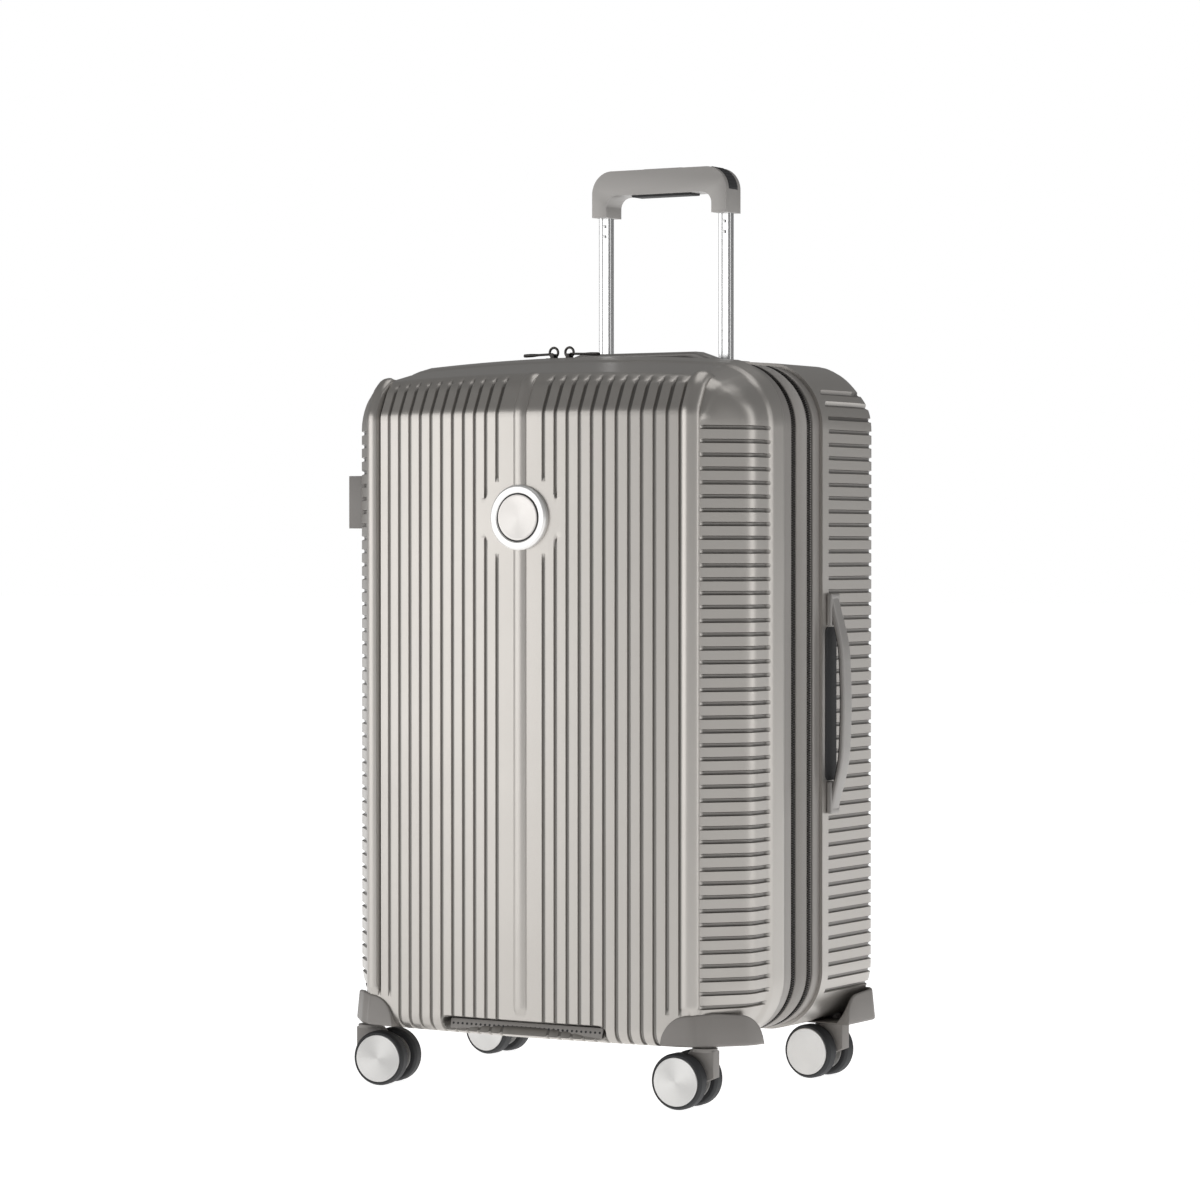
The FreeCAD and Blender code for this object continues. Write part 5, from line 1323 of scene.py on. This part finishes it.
@dataclass
class CombinationLock:
    """The lock on the left: a rounded case with three milled dials and a catch."""

    ridges: int = 20
    ridge_deep: float = 0.35

    def dial(self, number: int) -> None:
        """Turns one dial: radius = plain radius - ridge * the square of a cosine round the turn."""
        node = f"lock_dial_{number}"
        low, high = box_mm(node)
        middle = (low + high) / 2
        radius, tall = (high[0] - low[0]) / 2, high[2] - low[2]
        half = tall / 2
        line = rounded([(0, -half), (radius, -half), (radius, half), (0, half)], [0, 0.7, 0.7, 0], 3)
        around = self.ridges * 6
        points, spots = lathed(line, middle, np.array([0, 0, 1.0]), around)
        turn = np.linspace(0, 2 * math.pi, around + 1)[:, None]
        milled = np.cos(turn * self.ridges / 2) ** 2 * (line[:, 0] > radius - 0.8)
        shrink = 1 - self.ridge_deep / radius * milled
        points[..., :2] = middle[:2] + (points[..., :2] - middle[:2]) * shrink[..., None]
        Skin().grid(points, spots).piece(node + "_milled", node, "lock_dial", node)

    def build(self) -> None:
        """Makes the case, the dials and the catch."""
        softened("lock_case", "lock_body", 1.4)
        softened("lock_catch", "gunmetal", 0.6)
        for number in (1, 2, 3):
            self.dial(number)


@dataclass
class ZipPulls:
    """The two sliders' pulls: an upright wire loop and a tapered tab with a rounded tip."""

    loop_radius: float = 4.6
    wire: float = 1.2

    def build(self) -> None:
        """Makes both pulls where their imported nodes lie, each pointing away from the other."""
        softened("zip_sliders", "gunmetal", 0.9)
        for hand, way in (("left", -1), ("right", 1)):
            node = f"zip_pull_{hand}"
            low, high = box_mm(node)
            root = high[0] - 2 if way < 0 else low[0] + 2
            tip = low[0] if way < 0 else high[0]
            y, z = (low[1] + high[1]) / 2, (low[2] + high[2]) / 2
            turn = np.linspace(0, 2 * math.pi, 29)
            ring = np.stack([root + self.loop_radius * np.cos(turn), y + 0 * turn,
                             z + 2.6 + self.loop_radius * np.sin(turn)], -1)
            across = np.linspace(0, 2 * math.pi, 11)
            wire = self.wire * np.stack([np.cos(across), np.sin(across)], -1)
            skin = Skin().grid(*self._ring(ring, wire))
            share = np.linspace(0, 1, 26)
            path = np.stack([root + (tip - root) * share, y + 0 * share, z + 1.2 - 1.0 * share], -1)
            size = 0.8 + 0.35 * smooth(share, 0.45, 0.75)
            size = size * np.maximum(dome(np.maximum(0, share - 0.93) / 0.07), 0.02)
            size = size * np.maximum(dome(np.maximum(0, 0.05 - share) / 0.05), 0.02)
            skin.grid(*swept(path, rounded_box(4.0, 2.8, 1.2, 3), (0, 0, 1), size))
            skin.piece(node + "_tab", node, "gunmetal", node)

    @staticmethod
    def _ring(path: np.ndarray, profile: np.ndarray) -> tuple[np.ndarray, np.ndarray]:
        """Carries a round wire about a closed ring that stands across Y."""
        centre = path[:-1].mean(0)
        out = path - centre
        out /= np.linalg.norm(out, axis=1)[:, None]
        aside = profile[None, :, 1:] * np.array([0, 1.0, 0])
        points = path[:, None] + profile[None, :, :1] * out[:, None] + aside
        return points, np.zeros((*points.shape[:2], 2))


@dataclass
class CarryHandles:
    """The bowed side handle with its mounts and dark backing, and the top handle in its pan."""

    bar_thick: float = 5.4
    under_thick: float = 2.2

    def build(self) -> None:
        """Sweeps the side handle's bar, and rounds the rest."""
        low, high = box_mm("side_handle")
        mount_low, mount_high = box_mm("side_handle_mounts")
        out = high[0] - self.bar_thick / 2
        near = mount_high[0] - 2.5
        y = (low[1] + high[1]) / 2
        middle, half = (low[2] + high[2]) / 2, (high[2] - low[2]) / 2 - 3
        lower = [(near, -half), (near + 4, -half + 16), (out - 2.2, -half + 44)]
        upper = [(x, -z) for x, z in lower[::-1]]
        line = rounded(lower + [(out, 0)] + upper, [0, 60, 120, 500, 120, 60, 0], 10)
        line = resampled(line, 60)
        path = np.stack([line[:, 0], np.full(len(line), y), middle + line[:, 1]], -1)
        share = np.abs(line[:, 1]) / half
        taper = 1 - 0.12 * smooth(share, 0.7, 1.0)
        deep = high[1] - low[1]
        skin = Skin().grid(*swept(path, rounded_box(deep, self.bar_thick, 2.2), (1, 0, 0), taper))
        skin.piece("side_handle_bar", "side_handle", "grip_plastic", "side_handle")
        inner = path[8:-8] - np.array([self.bar_thick / 2, 0, 0])
        skin = Skin().grid(*swept(inner, rounded_box(deep - 4, self.under_thick, 0.9), (1, 0, 0)))
        skin.piece("side_handle_underside", "side_handle", "soft_pad")
        softened("side_handle_mounts", "grip_plastic", 1.8)
        plate = rounded_box(22.0, mount_high[2] - mount_low[2] - 62, 5.0)
        back = np.array([(mount_low[0] - 0.6, y + a, middle + b) for a, b in plate])
        front = back + np.array([1.0, 0, 0])
        centre = np.broadcast_to(front.mean(0), front.shape)
        Skin().grid(np.stack([back, front, centre])).piece("side_handle_backing", "root", "soft_pad")
        softened("top_handle", "grip_plastic", 2.6)
        softened("top_handle_pan", "trim", 0.8)


@dataclass
class Trolley:
    """The telescopic handle: tubes with a channel in front, grip, pad, ribbed inserts, button, tray."""

    channel_wide: float = 4.0
    channel_deep: float = 1.1
    rib_count: int = 9

    def tube_profile(self, wide: float, deep: float) -> np.ndarray:
        """Returns a rounded rectangle with a shallow channel down the middle of its front and back."""
        a, b, c, d = wide / 2, deep / 2, self.channel_wide / 2, self.channel_deep
        half = [(-a, -b), (-c - 0.6, -b), (-c, -b + d), (c, -b + d), (c + 0.6, -b), (a, -b)]
        corners = half + [(-x, -y) for x, y in half]
        radii = ([2.4, 0.3, 0.3, 0.3, 0.3, 2.4]) * 2
        return rounded(corners, radii, 4, closed=True)

    def tubes(self, node: str, body: str) -> None:
        """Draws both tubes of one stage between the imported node's ends."""
        low, high = box_mm(node)
        inner_x = 2 * box_tube_x() - high[0]
        wide, deep = high[0] - inner_x, high[1] - low[1]
        x, y = (inner_x + high[0]) / 2, (low[1] + high[1]) / 2
        path = np.array([(x, y, low[2]), (x, y, (low[2] + high[2]) / 2), (x, y, high[2])])
        skin = Skin().grid(*swept(path, self.tube_profile(wide, deep), (0, 1, 0))).mirrored()
        skin.piece(node + "_drawn", body, "tube_metal", node)

    def inserts(self) -> None:
        """Wraps the grip's outer corners in ribbed rubber."""
        low, high = box_mm("grip_inserts")
        softened("grip_inserts", "soft_pad", 0.6)
        radius = high[2] - low[2]
        turn = np.radians(np.linspace(8, 82, self.rib_count))
        middle = np.array([high[0] - radius, (low[1] + high[1]) / 2, high[2] - radius])
        out = np.stack([np.sin(turn), 0 * turn, np.cos(turn)], -1)
        along = np.stack([np.cos(turn), 0 * turn, -np.sin(turn)], -1)
        across = np.broadcast_to(np.array([0, 1.0, 0]), out.shape)
        deep = (high[1] - low[1]) / 2 - 0.6
        shape = np.array([corner for way in (-1, 1) for corner in (
            (-0.6, way * deep, -0.4), (0.6, way * deep, -0.4),
            (0.6, way * (deep - 0.5), 0.5), (-0.6, way * (deep - 0.5), 0.5))])
        skin = Skin().blocks(middle + radius * out, np.stack([along, across, out], 1), shape).mirrored()
        skin.piece("grip_insert_ribs", "trolley_grip", "soft_pad", weld=0.001)

    def build(self) -> None:
        """Makes the tubes, and finishes the grip and what is on it."""
        for node, body in (("inner_tubes", "trolley_grip"), ("middle_tubes", "trolley_middle"),
                           ("outer_tubes", "root")):
            self.tubes(node, body)
        softened("grip", "grip_plastic", 3.0, 4)
        softened("grip_pad", "soft_pad", 1.2)
        softened("release_button", "button_silver", 1.6, 4)
        softened("tube_rivets", "steel", 0.25)
        softened("push_rods", "steel", 0.3)
        softened("handle_tray", "trim", 1.0)
        self.inserts()


def box_tube_x() -> float:
    """Returns the distance of the trolley tubes from the middle.

    Each tube carries two rivets in line, so their height less their pitch is a rivet's width.
    """
    low, high = box_mm("tube_rivets")
    return float(high[0] - (high[2] - low[2] - RIVET_PITCH) / 2)


@dataclass
class Linings:
    """The cloth that lines both halves, and the packing straps with their buckle."""

    corner: float = 44.0
    fillet: float = 26.0
    quilt: float = 58.0
    strap_wide: float = 36.0

    def tray(self, node: str, body: str, way: int) -> None:
        """Makes one quilted tray: an outline carried down a wall, round a fillet and in to the middle.

        Args:
            node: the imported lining.
            body: its body.
            way: -1 where the tray is deep towards -Y, 1 towards +Y.
        """
        low, high = box_mm(node)
        open_y, deep_y = (high[1], low[1]) if way < 0 else (low[1], high[1])
        wide, tall = high[0] - low[0] - 1, high[2] - low[2] - 1
        ring = resampled(rounded_box(wide, tall, self.corner, 12), 301)
        depth = abs(deep_y - open_y) - 1
        turn = np.linspace(0, math.pi / 2, 9)
        inset = np.concatenate([[0, 0, 0, 0], self.fillet * (1 - np.cos(turn))])
        straight = depth - self.fillet
        down = np.concatenate([np.linspace(0, straight, 5)[:-1], straight + self.fillet * np.sin(turn)])
        size = np.array([wide / 2, tall / 2])
        walls = ring[:, None] * (1 - inset[None, :, None] / size)
        share = np.linspace(1, 0, 46)[1:]
        floor = walls[:, -1:] * share[None, :, None]
        plan = np.concatenate([walls, floor], 1)
        deep = np.concatenate([down, np.full(len(share), depth)])
        centre = np.array([(low[0] + high[0]) / 2, (low[2] + high[2]) / 2])
        x, z = plan[..., 0] + centre[0], plan[..., 1] + centre[1]
        flat = smooth(deep[None] + 0 * x, depth - 8, depth)
        lines = np.minimum(*(np.abs((x + slant * z) % self.quilt - self.quilt / 2) for slant in SIDES))
        puff = -1.1 * np.exp(-(lines / 3.0) ** 2) * flat
        ripple = 0.35 * np.sin(x / 17 + np.sin(z / 29)) * np.sin(z / 23)
        y = open_y + way * (deep - 1.6 - puff - ripple * flat)
        Skin().grid(np.stack([x, y, z], -1), np.stack([x, z], -1)).piece(
            node + "_quilted", body, "lining_fabric", node, crease=80)

    def straps(self) -> None:
        """Lays two webbing straps across the packing, each with a buckle in its middle."""
        low, high = box_mm("packing_straps")
        y = (low[1] + high[1]) / 2 + 1
        heights = (low[2] + self.strap_wide / 2, high[2] - self.strap_wide / 2)
        web, buckle = Skin(), Skin()
        for z in heights:
            share = np.linspace(-1, 1, 41)
            path = np.stack([share * (high[0] - 1), y + 1.5 * share ** 2, z + 0 * share], -1)
            web.grid(*swept(path, rounded_box(self.strap_wide, 1.4, 0.5, 2), (0, -1, 0)))
            for x, wide in ((-14.0, 24.0), (13.0, 26.0)):
                spot = np.array([(x - wide / 2, y - 1.4, z), (x, y - 2.0, z), (x + wide / 2, y - 1.4, z)])
                moulded = rounded_box(self.strap_wide + 3, 4.2, 1.6, 3)
                buckle.grid(*swept(resampled(spot, 7), moulded, (0, -1, 0)))
        web.piece("packing_strap_webbing", "root", "strap_webbing", "packing_straps")
        buckle.piece("packing_strap_buckles", "root", "soft_pad")

    def build(self) -> None:
        """Makes both trays and the straps."""
        self.tray("lid_lining", "lid", -1)
        self.tray("rear_lining", "root", 1)
        self.straps()


# ---------------------------------------------------------------- studio

@dataclass
class Studio:
    """The floor, the soft lights and the camera. Its sizes are metres."""

    camera_spot: tuple[float, float, float] = (1.961, -3.301, 0.504)
    camera_tilt: float = 89.27
    camera_turn: float = 30.77
    lens: float = 121.56
    sensor: float = 36.0
    floor_half: float = 30.0
    floor_glow: float = 0.9
    sky_light: float = 0.2

    def light(self, name: str, spot: tuple[float, float, float], aim: tuple[float, float, float],
              size: tuple[float, float], power: float) -> None:
        """Adds a rectangular soft light at spot that looks at aim."""
        lamp = bpy.data.lights.new(name, "AREA")
        lamp.shape = "RECTANGLE"
        lamp.size, lamp.size_y = size
        lamp.energy = power
        holder = bpy.data.objects.new(name, lamp)
        holder.location = spot
        holder.rotation_euler = (Vector(aim) - Vector(spot)).to_track_quat("-Z", "Y").to_euler()
        bpy.context.scene.collection.objects.link(holder)

    def floor(self) -> None:
        """Lays a wide pale floor."""
        mesh = bpy.data.meshes.new("floor")
        h = self.floor_half
        mesh.from_pydata([(-h, -h, 0), (h, -h, 0), (h, h, 0), (-h, h, 0)], [], [(0, 1, 2, 3)])
        plane = bpy.data.objects.new("floor", mesh)
        pale = bpy.data.materials.new("floor_paper")
        pale.use_nodes = True
        shader = pale.node_tree.nodes["Principled BSDF"]
        shader.inputs["Base Color"].default_value = (0.93, 0.93, 0.93, 1)
        shader.inputs["Roughness"].default_value = 0.9
        shader.inputs["Emission Color"].default_value = (1, 1, 1, 1)
        shader.inputs["Emission Strength"].default_value = self.floor_glow
        mesh.materials.append(pale)
        bpy.context.scene.collection.objects.link(plane)

    def sky(self) -> None:
        """Makes an even pale surround that is brighter to look at than it lights."""
        world = bpy.data.worlds.new("studio")
        bpy.context.scene.world = world
        world.use_nodes = True
        world.node_tree.nodes.clear()
        bench = NodeBench(world.node_tree)
        seen = bench.add("ShaderNodeBackground", {"Color": (1, 1, 1, 1), "Strength": 1.0})
        lit = bench.add("ShaderNodeBackground", {"Color": (1, 1, 1, 1), "Strength": self.sky_light})
        ray = bench.add("ShaderNodeLightPath")
        mix = bench.add("ShaderNodeMixShader", {0: ray.outputs["Is Camera Ray"], 1: lit.outputs[0],
                                                2: seen.outputs[0]})
        bench.add("ShaderNodeOutputWorld", {"Surface": mix.outputs[0]})

    def camera(self) -> None:
        """Sets the camera."""
        lens = bpy.data.cameras.new("camera")
        lens.lens, lens.sensor_width = self.lens, self.sensor
        holder = bpy.data.objects.new("camera", lens)
        holder.location = self.camera_spot
        holder.rotation_euler = (math.radians(self.camera_tilt), 0, math.radians(self.camera_turn))
        bpy.context.scene.collection.objects.link(holder)
        bpy.context.scene.camera = holder

    def build(self) -> None:
        """Sets up the studio."""
        self.camera()
        self.floor()
        self.sky()
        self.light("left_softbox", (-2.6, -3.0, 0.8), (0, 0, 0.35), (3.0, 2.8), 45)
        self.light("right_softbox", (3.2, 1.2, 1.1), (0, 0, 0.4), (1.3, 2.8), 14)
        self.light("top_softbox", (0.6, 0.6, 4.0), (0, 0, 0.3), (3.0, 3.0), 30)
        bpy.context.scene.view_settings.view_transform = "Standard"


# ---------------------------------------------------------------- everything

def main() -> None:
    """Builds the suitcase and its studio."""
    logging.basicConfig(level=logging.INFO, format="%(name)s %(message)s")
    Studio().build()
    outline = Outline()
    shells = (FrontShell(outline), RearShell(outline))
    for shell in shells:
        shell.build()
    SoftJoint(outline).build()
    for part in (Medallion(), GrabScoop(), CornerGuards(shells), Casters(), CombinationLock(), ZipPulls(),
                 CarryHandles(), Trolley(), Linings()):
        part.build()
    for name, node in frame["nodes"].items():
        if not node.hide_render:
            slot = node.material_slots[0].material.name if node.material_slots else "?"
            LOG.info("plain node %s (%s)", name, slot)


if __name__ == "__main__":
    main()
